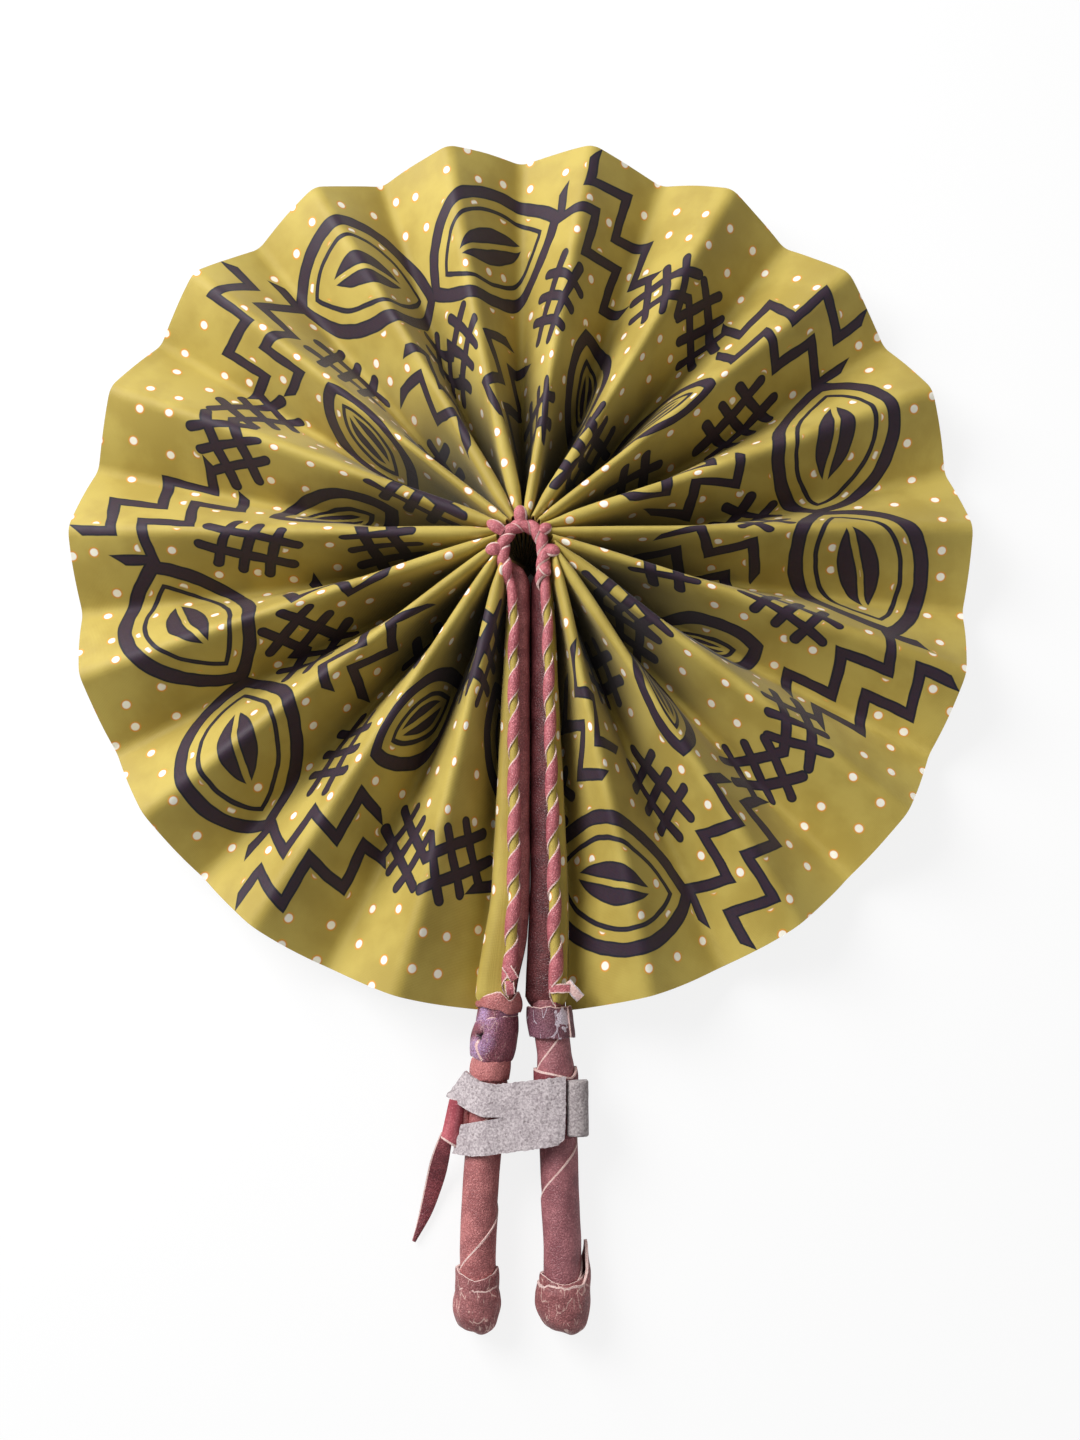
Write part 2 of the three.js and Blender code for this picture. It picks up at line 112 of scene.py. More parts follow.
def trace(knots: Sequence[tuple[float, ...]], place: float) -> list[float]:
    """Values on a smooth line through knots.

    Args:
        knots: each one's place followed by its values, in order of place.
        place: where on the line.

    Returns:
        The values there.
    """
    low = 0
    while low < len(knots) - 2 and place > knots[low + 1][0]:
        low += 1
    a = knots[low]
    b = knots[low + 1]
    before = knots[max(0, low - 1)]
    after = knots[min(len(knots) - 1, low + 2)]
    step = b[0] - a[0]
    t = min(1.0, max(0.0, (place - a[0]) / step))
    values = []
    for index in range(1, len(a)):
        leave = (b[index] - before[index]) / (b[0] - before[0]) * step
        reach = (after[index] - a[index]) / (after[0] - a[0]) * step
        value = (2 * t ** 3 - 3 * t ** 2 + 1) * a[index] + (t ** 3 - 2 * t ** 2 + t) * leave
        values.append(value + (3 * t ** 2 - 2 * t ** 3) * b[index] + (t ** 3 - t ** 2) * reach)
    return values


@dataclass(frozen=True)
class Waver:
    """Small smooth unevenness: its height, how fast it changes in two directions, and its pattern."""

    amount: float
    first: float
    second: float = 0.0
    key: float = 0.0

    def at(self, a: float, b: float, shift: float = 0.0) -> float:
        """Unevenness over two directions; shift picks another pattern."""
        return self.amount * noise.noise(Vector((a * self.first, b * self.second, self.key + shift)))

    def line(self, a: float, shift: float = 0.0) -> float:
        """Unevenness along one direction, with the second value as its row."""
        return self.amount * noise.noise(Vector((a * self.first, self.second, self.key + shift)))

    def ring(self, phi: float, s: float = 0.0, shift: float = 0.0) -> float:
        """Unevenness round a handle and along it, which meets itself after one turn."""
        spot = (math.cos(phi) * self.first, math.sin(phi) * self.first, s * self.second + shift)
        return self.amount * noise.noise(Vector(spot))


class Side(Enum):
    """The two guards and handles, by the sign of their place in x."""

    LEFT = -1
    RIGHT = 1

    @property
    def word(self) -> str:
        """Name as the nodes spell it."""
        return self.name.lower()

    @property
    def body(self) -> str:
        """Body that carries this side."""
        return f"{self.word}_guard"


@dataclass(frozen=True)
class PipingLine:
    """How one guard's piping runs beside the middle line."""

    splay: float
    shift: float
    toe: float
    flare: float
    start: float = 4.4
    toe_span: Span = (3.0, 19.0)
    flare_span: Span = (105.0, 128.0)
    proud: float = 2.0


@dataclass(frozen=True)
class FanPlan:
    """Lines that the part's solids follow, in millimetres about the eye of the leaf."""

    eye_y: float = 43.25
    leaf_radius: float = 135.0
    eye_radius: float = 8.6
    pleats: int = 18
    panel: float = 26.0
    least_rise: float = 1.0
    mid: float = 13.0
    guard_top: float = 11.0
    guard_end: float = 131.0
    bend: float = 133.0
    butt: float = 221.5
    axis_offset: float = 3.6
    guard_splay: float = 0.025
    handle_splay: float = 0.055
    axis_fall: float = 6.5 / 213.5
    seam: float = 0.55
    half_width_top: float = 2.8
    half_width_gain: float = 0.0225
    half_depth_top: float = 8.85
    half_depth_loss: float = 0.029
    lean_rest: float = 0.25
    leans: Line = ((0.75, 145.0, 185.0), (1.9, 95.0, 140.0))
    bow: float = 1.4
    bow_span: Span = (128.0, 154.0)
    bow_back: float = 0.6
    bow_back_span: Span = (195.0, 215.0)
    left_piping: PipingLine = PipingLine(splay=-0.004, shift=-0.5, toe=-2.7, flare=0.0)
    right_piping: PipingLine = PipingLine(splay=0.026, shift=0.0, toe=-1.0, flare=1.3)

    @property
    def panels(self) -> int:
        """Number of panels of the leaf, two to a pleat."""
        return 2 * self.pleats

    @property
    def cloth_length(self) -> float:
        """Length of the cloth from the eye to the rim."""
        return self.leaf_radius - self.eye_radius

    def radius(self, share: float) -> float:
        """Distance from the eye's middle at a share of the cloth's length."""
        return self.eye_radius + share * self.cloth_length

    def place(self, x: float, y: float, z: float) -> Vector:
        """Point of the fan, in metres, in the frame of the part."""
        return Vector((x, y + self.eye_y, z)) * MM

    def axis_x(self, s: float) -> float:
        """Distance of a stick's axis from the middle, s below the eye."""
        guard = self.axis_offset + self.guard_splay * min(s, self.bend)
        return guard + self.handle_splay * max(0.0, s - self.bend)

    def axis_z(self, s: float) -> float:
        """Height of a stick's axis."""
        return self.mid - self.axis_fall * s

    def half_width(self, s: float) -> float:
        """Half of a guard's width."""
        return self.half_width_top + self.half_width_gain * s

    def half_depth(self, s: float) -> float:
        """Half of a guard's depth."""
        return self.half_depth_top - self.half_depth_loss * s

    def lean(self, s: float) -> float:
        """How far the sticks lean to the right of the middle, s below the eye."""
        steps = [amount * (1.0 - smooth(start, end, s)) for amount, start, end in self.leans]
        return self.lean_rest + sum(steps)

    def handle_x(self, side: Side, s: float) -> float:
        """Place of a handle's axis in x, a little bowed outward."""
        bow = self.bow * smooth(*self.bow_span, s) * (1.0 - self.bow_back * smooth(*self.bow_back_span, s))
        return side.value * (self.axis_x(s) + bow) + self.lean(s)

    def edge_angle(self, radius: float) -> float:
        """Angle between the middle line and the first fold of the leaf.

        Args:
            radius: distance from the eye's middle.

        Returns:
            The angle, in radians.
        """
        start = self.axis_x(0.0) + self.half_width(0.0) + self.seam
        grow = self.axis_x(1.0) + self.half_width(1.0) + self.seam - start
        reach = radius * radius * (1.0 + grow * grow) - start * start
        y = (-start * grow + math.sqrt(reach)) / (1.0 + grow * grow)
        return math.atan2(start + grow * y, y)

    def fold_angle(self, fold: float, radius: float) -> float:
        """Direction of a fold in radians; folds count from the left guard and odd ones are ridges."""
        edge = self.edge_angle(radius)
        return 3.0 * QUARTER - edge - fold / self.panels * (TAU - 2.0 * edge)

    def chord(self, radius: float) -> float:
        """Distance between neighbouring folds."""
        step = (TAU - 2.0 * self.edge_angle(radius)) / self.panels
        return 2.0 * radius * math.sin(step / 2.0)

    def rise(self, radius: float) -> float:
        """Height from a valley to a ridge."""
        return math.sqrt(max(self.least_rise ** 2, self.panel ** 2 - self.chord(radius) ** 2))

    def piping(self, side: Side, s: float) -> Span:
        """Place of a guard's piping.

        Args:
            side: which guard.
            s: distance below the eye.

        Returns:
            Its x and its height.
        """
        line = self.left_piping if side is Side.LEFT else self.right_piping
        inward = line.shift + line.toe * (1.0 - smooth(*line.toe_span, s))
        outward = line.flare * smooth(*line.flare_span, s)
        x = side.value * (line.start + line.splay * s) + self.lean(s) + inward + outward
        return x, self.axis_z(s) + self.half_depth(s) + line.proud


def clear_selection() -> None:
    """Leaves nothing selected, so that an operator acts on its own piece alone."""
    if bpy.context.mode != "OBJECT":
        bpy.ops.object.mode_set(mode="OBJECT")
    bpy.ops.object.select_all(action="DESELECT")


@dataclass
class Bench:
    """One piece on the bench, worked with Blender's own operators."""

    name: str
    obj: bpy.types.Object | None = None
    spots: Sequence[Span] = ()

    def hold(self) -> None:
        """Makes the piece the only selected and active one."""
        clear_selection()
        self.obj.select_set(True)
        bpy.context.view_layer.objects.active = self.obj

    def take(self) -> None:
        """Names the object that an add operator has just made."""
        self.obj = bpy.context.active_object
        self.obj.name = self.name
        self.obj.data.name = self.name

    def grid(self, columns: int, rows: int) -> Bench:
        """Adds a flat sheet of faces.

        Args:
            columns: faces across.
            rows: faces along.

        Returns:
            The bench itself.
        """
        clear_selection()
        bpy.ops.mesh.primitive_grid_add(x_subdivisions=columns, y_subdivisions=rows, size=1.0)
        self.take()
        self.spots = [(v.co.x + 0.5, v.co.y + 0.5) for v in self.obj.data.vertices]
        return self

    def rod(self, path: Sequence[Vector], radius: float, sides: int = 20) -> Bench:
        """Extrudes a round section from point to point down the handle.

        Args:
            path: points of the axis, in metres.
            radius: radius of the section, in millimetres.
            sides: corners of the section.

        Returns:
            The bench itself.
        """
        clear_selection()
        bpy.ops.mesh.primitive_circle_add(vertices=sides, radius=radius * MM, fill_type="NGON")
        self.take()
        bpy.ops.object.mode_set(mode="EDIT")
        bpy.ops.mesh.select_all(action="SELECT")
        bpy.ops.transform.rotate(value=QUARTER, orient_axis="X", center_override=ORIGIN)
        bpy.ops.transform.translate(value=path[0])
        for start, end in zip(path, path[1:]):
            bpy.ops.mesh.extrude_region_move(TRANSFORM_OT_translate={"value": end - start})
        bpy.ops.object.mode_set(mode="OBJECT")
        return self.weld()

    def block(self, middle: Vector, size: Point, round_off: float, segments: int = 5) -> Bench:
        """Adds a block at its size and place and rounds its edges.

        Args:
            middle: its middle, in metres.
            size: lengths along x, y and z, in millimetres.
            round_off: width of the rounding, in millimetres.
            segments: faces across the rounding.

        Returns:
            The bench itself.
        """
        clear_selection()
        bpy.ops.mesh.primitive_cube_add(size=MM)
        self.take()
        self.edit(
            lambda: bpy.ops.transform.resize(value=size, center_override=ORIGIN),
            lambda: bpy.ops.transform.translate(value=middle),
        )
        return self.modifier("BEVEL", width=round_off * MM, segments=segments)

    def shape(self, rule: Rule, strip: Strip | None = None) -> Bench:
        """Moves each point of the sheet to its place.

        Args:
            rule: place from the sheet's own coordinates, each 0 to 1.
            strip: place on the flat cloth or leather, for the UV map.

        Returns:
            The bench itself.
        """
        mesh = self.obj.data
        for vertex, (u, v) in zip(mesh.vertices, self.spots):
            vertex.co = rule(u, v)
        if strip is not None:
            layer = mesh.uv_layers.active.uv
            for loop in mesh.loops:
                layer[loop.index].vector = strip(*self.spots[loop.vertex_index])
        return self

    def marks(self, rule: Marks) -> Bench:
        """Paints wear, painted shade and painted sheen on the points of the sheet.

        Args:
            rule: three amounts at a point: scuffed, or painted shade deep in the cloth's folds; the painted
                shade inside a pit; and the tint, partly painted sheen.

        Returns:
            The bench itself.
        """
        layer = self.obj.data.color_attributes.new("marks", "FLOAT_COLOR", "POINT")
        for index, (u, v) in enumerate(self.spots):
            layer.data[index].color = (*rule(u, v), 1.0)
        return self

    def edit(self, *steps: Callable[[], object]) -> Bench:
        """Runs edit-mode steps on all of the piece.

        Args:
            steps: calls of operators, in order.

        Returns:
            The bench itself.
        """
        self.hold()
        bpy.ops.object.mode_set(mode="EDIT")
        bpy.ops.mesh.select_all(action="SELECT")
        for step in steps:
            step()
        bpy.ops.object.mode_set(mode="OBJECT")
        return self

    def weld(self, close: bool = False) -> Bench:
        """Joins the seam of a rolled sheet and turns its faces outward.

        Args:
            close: whether its open ends are filled.

        Returns:
            The bench itself.
        """
        steps: list[Callable[[], object]] = [lambda: bpy.ops.mesh.remove_doubles(threshold=WELD_GAP)]
        if close:
            steps.append(lambda: bpy.ops.mesh.fill_holes(sides=0))
        steps.append(lambda: bpy.ops.mesh.normals_make_consistent(inside=False))
        return self.edit(*steps)

    def modifier(self, kind: str, **settings: object) -> Bench:
        """Adds a modifier and applies it.

        Args:
            kind: Blender's word for it.
            settings: its values.

        Returns:
            The bench itself.
        """
        self.hold()
        made = self.obj.modifiers.new(kind.lower(), kind)
        for key, value in settings.items():
            setattr(made, key, value)
        bpy.ops.object.modifier_apply(modifier=made.name)
        return self

    def wall(self, thickness: float, rim: int = 0) -> Bench:
        """Gives a sheet its thickness, half to each side; rim counts on to the rim's own material."""
        return self.modifier(
            "SOLIDIFY", thickness=thickness * MM, offset=0.0, material_offset_rim=rim, use_even_offset=False
        )

    def dress(self, *finishes: bpy.types.Material) -> Bench:
        """Gives the piece its materials.

        Args:
            finishes: materials, in order.

        Returns:
            The bench itself.
        """
        self.obj.data.materials.clear()
        for finish in finishes:
            self.obj.data.materials.append(finish)
        return self

    def hem(self, rule: Callable[[float, float], bool]) -> Bench:
        """Gives part of a sheet its second material, before it has a thickness.

        Args:
            rule: whether a face at these sheet coordinates takes it.

        Returns:
            The bench itself.
        """
        for face in self.obj.data.polygons:
            corners = [self.spots[corner] for corner in face.vertices]
            u = sum(corner[0] for corner in corners) / len(corners)
            v = sum(corner[1] for corner in corners) / len(corners)
            if rule(u, v):
                face.material_index = 1
        return self

    def paint(self, rule: Callable[[Vector], int]) -> Bench:
        """Chooses each face's material.

        Args:
            rule: number of the material, from the face's middle in metres.

        Returns:
            The bench itself.
        """
        for face in self.obj.data.polygons:
            face.material_index = rule(face.center)
        return self

    def seat(self, body: str | None, slot: str, *nodes: str) -> bpy.types.Object:
        """Puts the piece on its body.

        Args:
            body: body that carries it, or None for a piece left on no body.
            slot: material slot of the record; not used.
            nodes: CAD nodes that it stands for.

        Returns:
            The finished object.
        """
        self.hold()
        bpy.ops.object.shade_smooth_by_angle(angle=SMOOTH_ANGLE)
        if body is not None:
            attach(self.obj, body)
        if nodes:
            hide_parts(*nodes)
        LOG.info("%s rides on %s", self.name, body or "two bodies")
        return self.obj


class Wires:
    """Node tree of one material, with short ways to add to it."""

    def __init__(self, name: str) -> None:
        """Starts a material.

        Args:
            name: name of the material.
        """
        self.material = bpy.data.materials.new(name)
        self.material.use_nodes = True
        self.tree = self.material.node_tree
        self.shader = self.tree.nodes["Principled BSDF"]

    def link(self, value: Amount | Sequence[float], socket: Socket) -> None:
        """Sets a socket.

        Args:
            value: a number or colour, or another socket to wire it to.
            socket: the socket to set.
        """
        if isinstance(value, bpy.types.NodeSocket):
            self.tree.links.new(value, socket)
        else:
            socket.default_value = value

    def add(self, kind: str, **settings: object) -> bpy.types.Node:
        """Adds a node.

        Args:
            kind: Blender's word for it.
            settings: its values.

        Returns:
            The node.
        """
        node = self.tree.nodes.new(f"ShaderNode{kind}")
        for key, value in settings.items():
            setattr(node, key, value)
        return node

    def math(self, operation: str, *values: Amount) -> Socket:
        """One step of arithmetic.

        Args:
            operation: Blender's word for it.
            values: numbers or sockets.

        Returns:
            The result.
        """
        node = self.add("Math", operation=operation)
        for value, socket in zip(values, node.inputs):
            self.link(value, socket)
        return node.outputs[0]

    def blend(self, share: Amount, first: Amount | Sequence[float], second: Amount | Sequence[float],
              how: str = "MIX") -> Socket:
        """Mix of two colours.

        Args:
            share: how much of the second.
            first: first colour.
            second: second colour.
            how: Blender's word for the way of mixing.

        Returns:
            The mixed colour.
        """
        node = self.add("Mix", data_type="RGBA", blend_type=how)
        for value, index in zip((share, first, second), MIX_INPUTS):
            self.link(value, node.inputs[index])
        return node.outputs[MIX_OUTPUT]

    def step(self, value: Amount, low: float, high: float, to_low: float = 0.0,
             to_high: float = 1.0) -> Socket:
        """Smooth change from one number to another.

        Args:
            value: what it follows.
            low: where it starts.
            high: where it ends.
            to_low: result at the start.
            to_high: result at the end.

        Returns:
            The changed number.
        """
        node = self.add("MapRange", interpolation_type="SMOOTHSTEP")
        for amount, socket in zip((value, low, high, to_low, to_high), node.inputs):
            self.link(amount, socket)
        return node.outputs[0]

    def spot(self) -> Socket:
        """Object coordinates."""
        return self.add("TexCoord").outputs["Object"]

    def wear(self) -> Sequence[Socket]:
        """Marks that were painted on the piece's points: scuffs, or painted shade deep in the cloth's folds;
        the painted shade inside a pit; and the tint, partly painted sheen.
        """
        parts = self.add("SeparateColor")
        self.link(self.add("Attribute", attribute_name="marks").outputs["Color"], parts.inputs[0])
        return parts.outputs

    def stretched(self, where: Socket, scale: Point) -> Socket:
        """Coordinates drawn out along an axis.

        Args:
            where: the coordinates.
            scale: factor along each axis, less than 1 where they are drawn out.

        Returns:
            The new coordinates.
        """
        node = self.add("Mapping")
        self.link(where, node.inputs["Vector"])
        self.link(scale, node.inputs["Scale"])
        return node.outputs[0]

    def noise(self, where: Socket, scale: float, detail: float = 3.0, out: str = "Fac") -> Socket:
        """Cloudy noise.

        Args:
            where: coordinates in metres.
            scale: clouds to a metre.
            detail: how many finer layers it has.
            out: Fac for one number, Color for three.

        Returns:
            The noise.
        """
        node = self.add("TexNoise")
        self.link(where, node.inputs["Vector"])
        self.link(scale, node.inputs["Scale"])
        self.link(detail, node.inputs["Detail"])
        return node.outputs[out]

    def cells(self, where: Socket, scale: float, feature: str = "DISTANCE_TO_EDGE", scatter: float = 1.0,
              dimensions: str = "3D") -> Socket:
        """Distance in a pattern of cells.

        Args:
            where: coordinates in metres.
            scale: cells to a metre.
            feature: Blender's word for what is measured.
            scatter: 0 for cells in rows and 1 for cells anywhere.
            dimensions: Blender's word for a flat or a solid pattern.

        Returns:
            The distance.
        """
        node = self.add("TexVoronoi", feature=feature, voronoi_dimensions=dimensions)
        self.link(where, node.inputs["Vector"])
        self.link(scale, node.inputs["Scale"])
        self.link(scatter, node.inputs["Randomness"])
        return node.outputs["Distance"]

    def bump(self, height: Socket, strength: float, distance: float) -> None:
        """Raises the surface.

        Args:
            height: how high each place is.
            strength: how much of it shows.
            distance: the height that 1 stands for, in millimetres.
        """
        node = self.add("Bump")
        self.link(strength, node.inputs["Strength"])
        self.link(distance * MM, node.inputs["Distance"])
        self.link(height, node.inputs["Height"])
        self.link(node.outputs[0], self.shader.inputs["Normal"])

    def surface(self, **inputs: Amount | Sequence[float]) -> bpy.types.Material:
        """Sets the shader's inputs.

        Args:
            inputs: values by the inputs' names, with spaces written as underscores.

        Returns:
            The finished material.
        """
        for key, value in inputs.items():
            self.link(value, self.shader.inputs[key.replace("_", " ")])
        return self.material


@dataclass
class Print:
    """Figures of the print as distances from their outlines, in millimetres on the flat cloth.

    Each figure of the layout has its middle, its turn in degrees and, but for the hatches, its reach.
    """

    wires: Wires
    x: Socket
    y: Socket
    pod_width: float = 0.6
    pod_line: float = 4.4
    pod_inset: float = 6.0
    pod_inner_line: float = 1.5
    leaf_reach: float = 0.5
    leaf_width: float = 0.2
    leaf_vein: float = 0.9
    wave_half: float = 9.0
    wave_rise: float = 1.25
    wave_middle: float = -5.6
    wave_apart: float = 7.6
    wave_slope: float = 0.62
    wave_line: float = 1.75
    bar_apart: float = 4.2
    bar_reach: float = 14.0
    bar_line: float = 3.6
    rung_pitch: float = 3.8
    rung_reach: float = 9.6
    rung_line: float = 3.4
    rung_end: float = 10.0
    pods: tuple[tuple[Span, float, float], ...] = (((31.0, 103.0), 18.0, 31.0), ((98.0, 60.0), -55.0, 20.0))
    zigzags: tuple[tuple[Span, float, float], ...] = (
        ((85.0, 110.0), -40.0, 25.0), ((32.0, 56.0), 64.0, 18.0),
    )
    hatches: tuple[tuple[Span, float], ...] = (
        ((119.0, 96.0), 28.0), ((67.0, 82.0), 70.0), ((4.0, 70.0), 35.0), ((64.0, 42.0), 12.0),
        ((123.0, 36.0), 75.0),
    )

    def turned(self, at: Span, turn: float) -> tuple[Socket, Socket]:
        """Coordinates about a point.

        Args:
            at: the point.
            turn: their turn in degrees.

        Returns:
            The places along and across the turned direction.
        """
        m = self.wires.math
        cos = math.cos(math.radians(turn))
        sin = math.sin(math.radians(turn))
        dx = m("SUBTRACT", self.x, at[0])
        dy = m("SUBTRACT", self.y, at[1])
        along = m("MULTIPLY_ADD", dx, cos, m("MULTIPLY", dy, sin))
        across = m("MULTIPLY_ADD", dy, cos, m("MULTIPLY", dx, -sin))
        return along, across

    def length(self, a: Amount, b: Amount) -> Socket:
        """Length of a flat vector."""
        m = self.wires.math
        return m("SQRT", m("MULTIPLY_ADD", a, a, m("MULTIPLY", b, b)))

    def almond(self, along: Socket, across: Socket, reach: float, width: float) -> Socket:
        """Pointed oval.

        Args:
            along: place along it.
            across: place across it.
            reach: half of its length.
            width: half of its width.

        Returns:
            The distance from its outline, less than 0 inside.
        """
        m = self.wires.math
        radius = (reach * reach + width * width) / (2.0 * width)
        down = m("ADD", m("ABSOLUTE", across), radius - width)
        return m("SUBTRACT", self.length(along, down), radius)

    def outline(self, distance: Socket, line: float) -> Socket:
        """Line of a width along an outline."""
        m = self.wires.math
        return m("SUBTRACT", m("ABSOLUTE", distance), line / 2.0)

    def seed_pod(self, at: Span, turn: float, reach: float) -> Socket:
        """Pointed oval with a leaf and its midrib inside.

        Args:
            at: its middle.
            turn: its turn in degrees.
            reach: half of its length.

        Returns:
            The distance from it.
        """
        m = self.wires.math
        along, across = self.turned(at, turn)
        pod = self.almond(along, across, reach, reach * self.pod_width)
        inner = self.outline(m("ADD", pod, self.pod_inset), self.pod_inner_line)
        rim = m("MINIMUM", self.outline(pod, self.pod_line), inner)
        leaf = self.almond(along, across, reach * self.leaf_reach, reach * self.leaf_width)
        vein = m("SUBTRACT", self.leaf_vein, m("ABSOLUTE", across))
        return m("MINIMUM", rim, m("MAXIMUM", leaf, vein))

    def zigzag(self, at: Span, turn: float, reach: float) -> Socket:
        """Two zigzag lines side by side.

        Args:
            at: their middle.
            turn: their turn in degrees.
            reach: half of their length.

        Returns:
            The distance from them.
        """
        m = self.wires.math
        along, across = self.turned(at, turn)
        wave = m("PINGPONG", along, self.wave_half)
        off = m("SUBTRACT", m("MULTIPLY_ADD", wave, self.wave_rise, self.wave_middle), across)
        pair = m("ABSOLUTE", m("SUBTRACT", m("ABSOLUTE", off), self.wave_apart))
        line = m("SUBTRACT", m("MULTIPLY", pair, self.wave_slope), self.wave_line)
        return m("MAXIMUM", line, m("SUBTRACT", m("ABSOLUTE", along), reach))

    def bar(self, along: Amount, across: Amount, reach: float, line: float) -> Socket:
        """Distance from a straight bar with round ends, by half of its length and its width."""
        past = self.wires.math("MAXIMUM", self.wires.math("SUBTRACT", along, reach), 0.0)
        return self.wires.math("SUBTRACT", self.length(past, across), line / 2.0)

    def hatch(self, at: Span, turn: float) -> Socket:
        """Two long bars crossed by short ones.

        Args:
            at: their middle.
            turn: their turn in degrees.

        Returns:
            The distance from them.
        """
        m = self.wires.math
        along, across = self.turned(at, turn)
        far = m("ABSOLUTE", along)
        high = m("ABSOLUTE", across)
        long_bars = self.bar(far, m("SUBTRACT", high, self.bar_apart), self.bar_reach, self.bar_line)
        nearest = m("PINGPONG", along, self.rung_pitch)
        rungs = self.bar(high, nearest, self.rung_reach, self.rung_line)
        return m("MINIMUM", long_bars, m("MAXIMUM", rungs, m("SUBTRACT", far, self.rung_end)))

    def figures(self) -> Socket:
        """Draws one repeat of the print.

        Returns:
            The least distance to any figure.
        """
        drawn = [self.seed_pod(*row) for row in self.pods]
        drawn += [self.zigzag(*row) for row in self.zigzags]
        drawn += [self.hatch(*row) for row in self.hatches]
        least = drawn[0]
        for figure in drawn[1:]:
            least = self.wires.math("MINIMUM", least, figure)
        return least


@dataclass(frozen=True)
class ClothFinish:
    """Printed cotton: dark figures and white dots on a mustard ground, with painted shade deep in its folds.
    """

    ground: Rgb = (184, 163, 78)
    shade: Rgb = (168, 146, 64)
    figure: Rgb = (46, 28, 43)
    figure_edge: Rgb = (15, 16, 32)
    dot: Rgb = (246, 242, 226)
    halo: Rgb = (214, 142, 44)
    # Painted shade deep in the gathered folds, and how much of it shows.
    hollow: Rgb = (30, 24, 18)
    deepen: float = 0.75
    repeat: float = 131.0
    shift: float = 100.0
    waver_scale: float = 70.0
    waver_reach: Point = (0.0022, 0.0022, 0.0)
    ink_span: Span = (0.12, -0.12)
    ink_edge_span: Span = (-0.75, -0.45)
    ink_mottle: float = 0.35
    ink_mottle_scale: float = 900.0
    cloud_scale: float = 55.0
    cloud_span: Span = (0.35, 0.65)
    dot_spacing: float = 11.2
    dot_scatter: float = 0.42
    dot_clear: Span = (0.6, 1.3)
    dot_span: Span = (0.124, 0.092)
    halo_span: Span = (0.172, 0.116)
    thread_scale: float = 760.0
    thread_waver: float = 0.6
    slub_scale: float = 420.0
    slub: float = 2.2
    crease_stretch: Point = (1.0, 0.1, 1.0)
    crease_scale: float = 190.0
    crease: float = 5.0
    relief: float = 0.2
    relief_depth: float = 0.12
    shine: Ramp = (0.3, 0.7, 0.56, 0.68)

    def figures(self, w: Wires, flat: Socket) -> Socket:
        """Repeats the print along the cloth, its lines wavering a little.

        Args:
            w: tree of the cloth.
            flat: place on the flat cloth, in metres.

        Returns:
            The distance from the figures, in millimetres.
        """
        wobble = w.add("VectorMath", operation="MULTIPLY_ADD")
        drift = w.noise(flat, self.waver_scale, detail=2.0, out="Color")
        for value, socket in zip((drift, self.waver_reach, flat), wobble.inputs):
            w.link(value, socket)
        parts = w.add("SeparateXYZ")
        w.link(wobble.outputs[0], parts.inputs[0])
        run = w.math("MULTIPLY_ADD", parts.outputs[0], PER_METRE, self.shift)
        across = w.math("MULTIPLY", parts.outputs[1], PER_METRE)
        return Print(w, w.math("PINGPONG", run, self.repeat), across).figures()

    def colour(self, w: Wires, flat: Socket, cloud: Socket) -> Socket:
        """Prints dots and figures on the ground, and paints shade into the depth of the folds.

        Args:
            w: tree of the cloth.
            flat: place on the flat cloth, in metres.
            cloud: slow change over the cloth.

        Returns:
            The colour.
        """
        distance = self.figures(w, flat)
        ground = w.blend(w.step(cloud, *self.cloud_span), linear(self.shade), linear(self.ground))
        cell = w.cells(flat, PER_METRE / self.dot_spacing, "F1", self.dot_scatter, "2D")
        clear = w.step(distance, *self.dot_clear)
        haloed = w.blend(w.math("MULTIPLY", w.step(cell, *self.halo_span), clear), ground, linear(self.halo))
        dotted = w.blend(w.math("MULTIPLY", w.step(cell, *self.dot_span), clear), haloed, linear(self.dot))
        edge = w.step(distance, *self.ink_edge_span)
        ink = w.blend(edge, linear(self.figure), linear(self.figure_edge))
        fleck = w.noise(flat, self.ink_mottle_scale, detail=2.0, out="Color")
        mottled = w.blend(self.ink_mottle, ink, fleck, "SOFT_LIGHT")
        printed = w.blend(w.step(distance, *self.ink_span), dotted, mottled)
        # Painted shade deep in the gathered folds near the eye.
        deep = w.math("MULTIPLY", w.wear()[0], self.deepen)
        return w.blend(deep, printed, linear(self.hollow))

    def weave(self, w: Wires, flat: Socket) -> None:
        """Raises the threads, the slubs and the creases of the pressed folds.

        Args:
            w: tree of the cloth.
            flat: place on the flat cloth, in metres.
        """
        threads = []
        for direction in "XY":
            thread = w.add("TexWave", bands_direction=direction)
            w.link(flat, thread.inputs["Vector"])
            w.link(self.thread_scale, thread.inputs["Scale"])
            w.link(self.thread_waver, thread.inputs["Distortion"])
            threads.append(thread.outputs["Fac"])
        slub = w.math("MULTIPLY_ADD", w.noise(flat, self.slub_scale), self.slub, w.math("ADD", *threads))
        pressed = w.noise(w.stretched(flat, self.crease_stretch), self.crease_scale, detail=4.0)
        w.bump(w.math("MULTIPLY_ADD", pressed, self.crease, slub), self.relief, self.relief_depth)

    def material(self) -> bpy.types.Material:
        """Makes the cloth on its own UV map, which is in metres.

        Returns:
            The material.
        """
        w = Wires("printed_cloth")
        flat = w.add("UVMap", uv_map="UVMap").outputs[0]
        cloud = w.noise(flat, self.cloud_scale, detail=4.0)
        self.weave(w, flat)
        return w.surface(
            Base_Color=self.colour(w, flat, cloud), Roughness=w.step(cloud, *self.shine),
            Specular_IOR_Level=0.36, Sheen_Weight=0.1, Sheen_Roughness=0.5,
        )


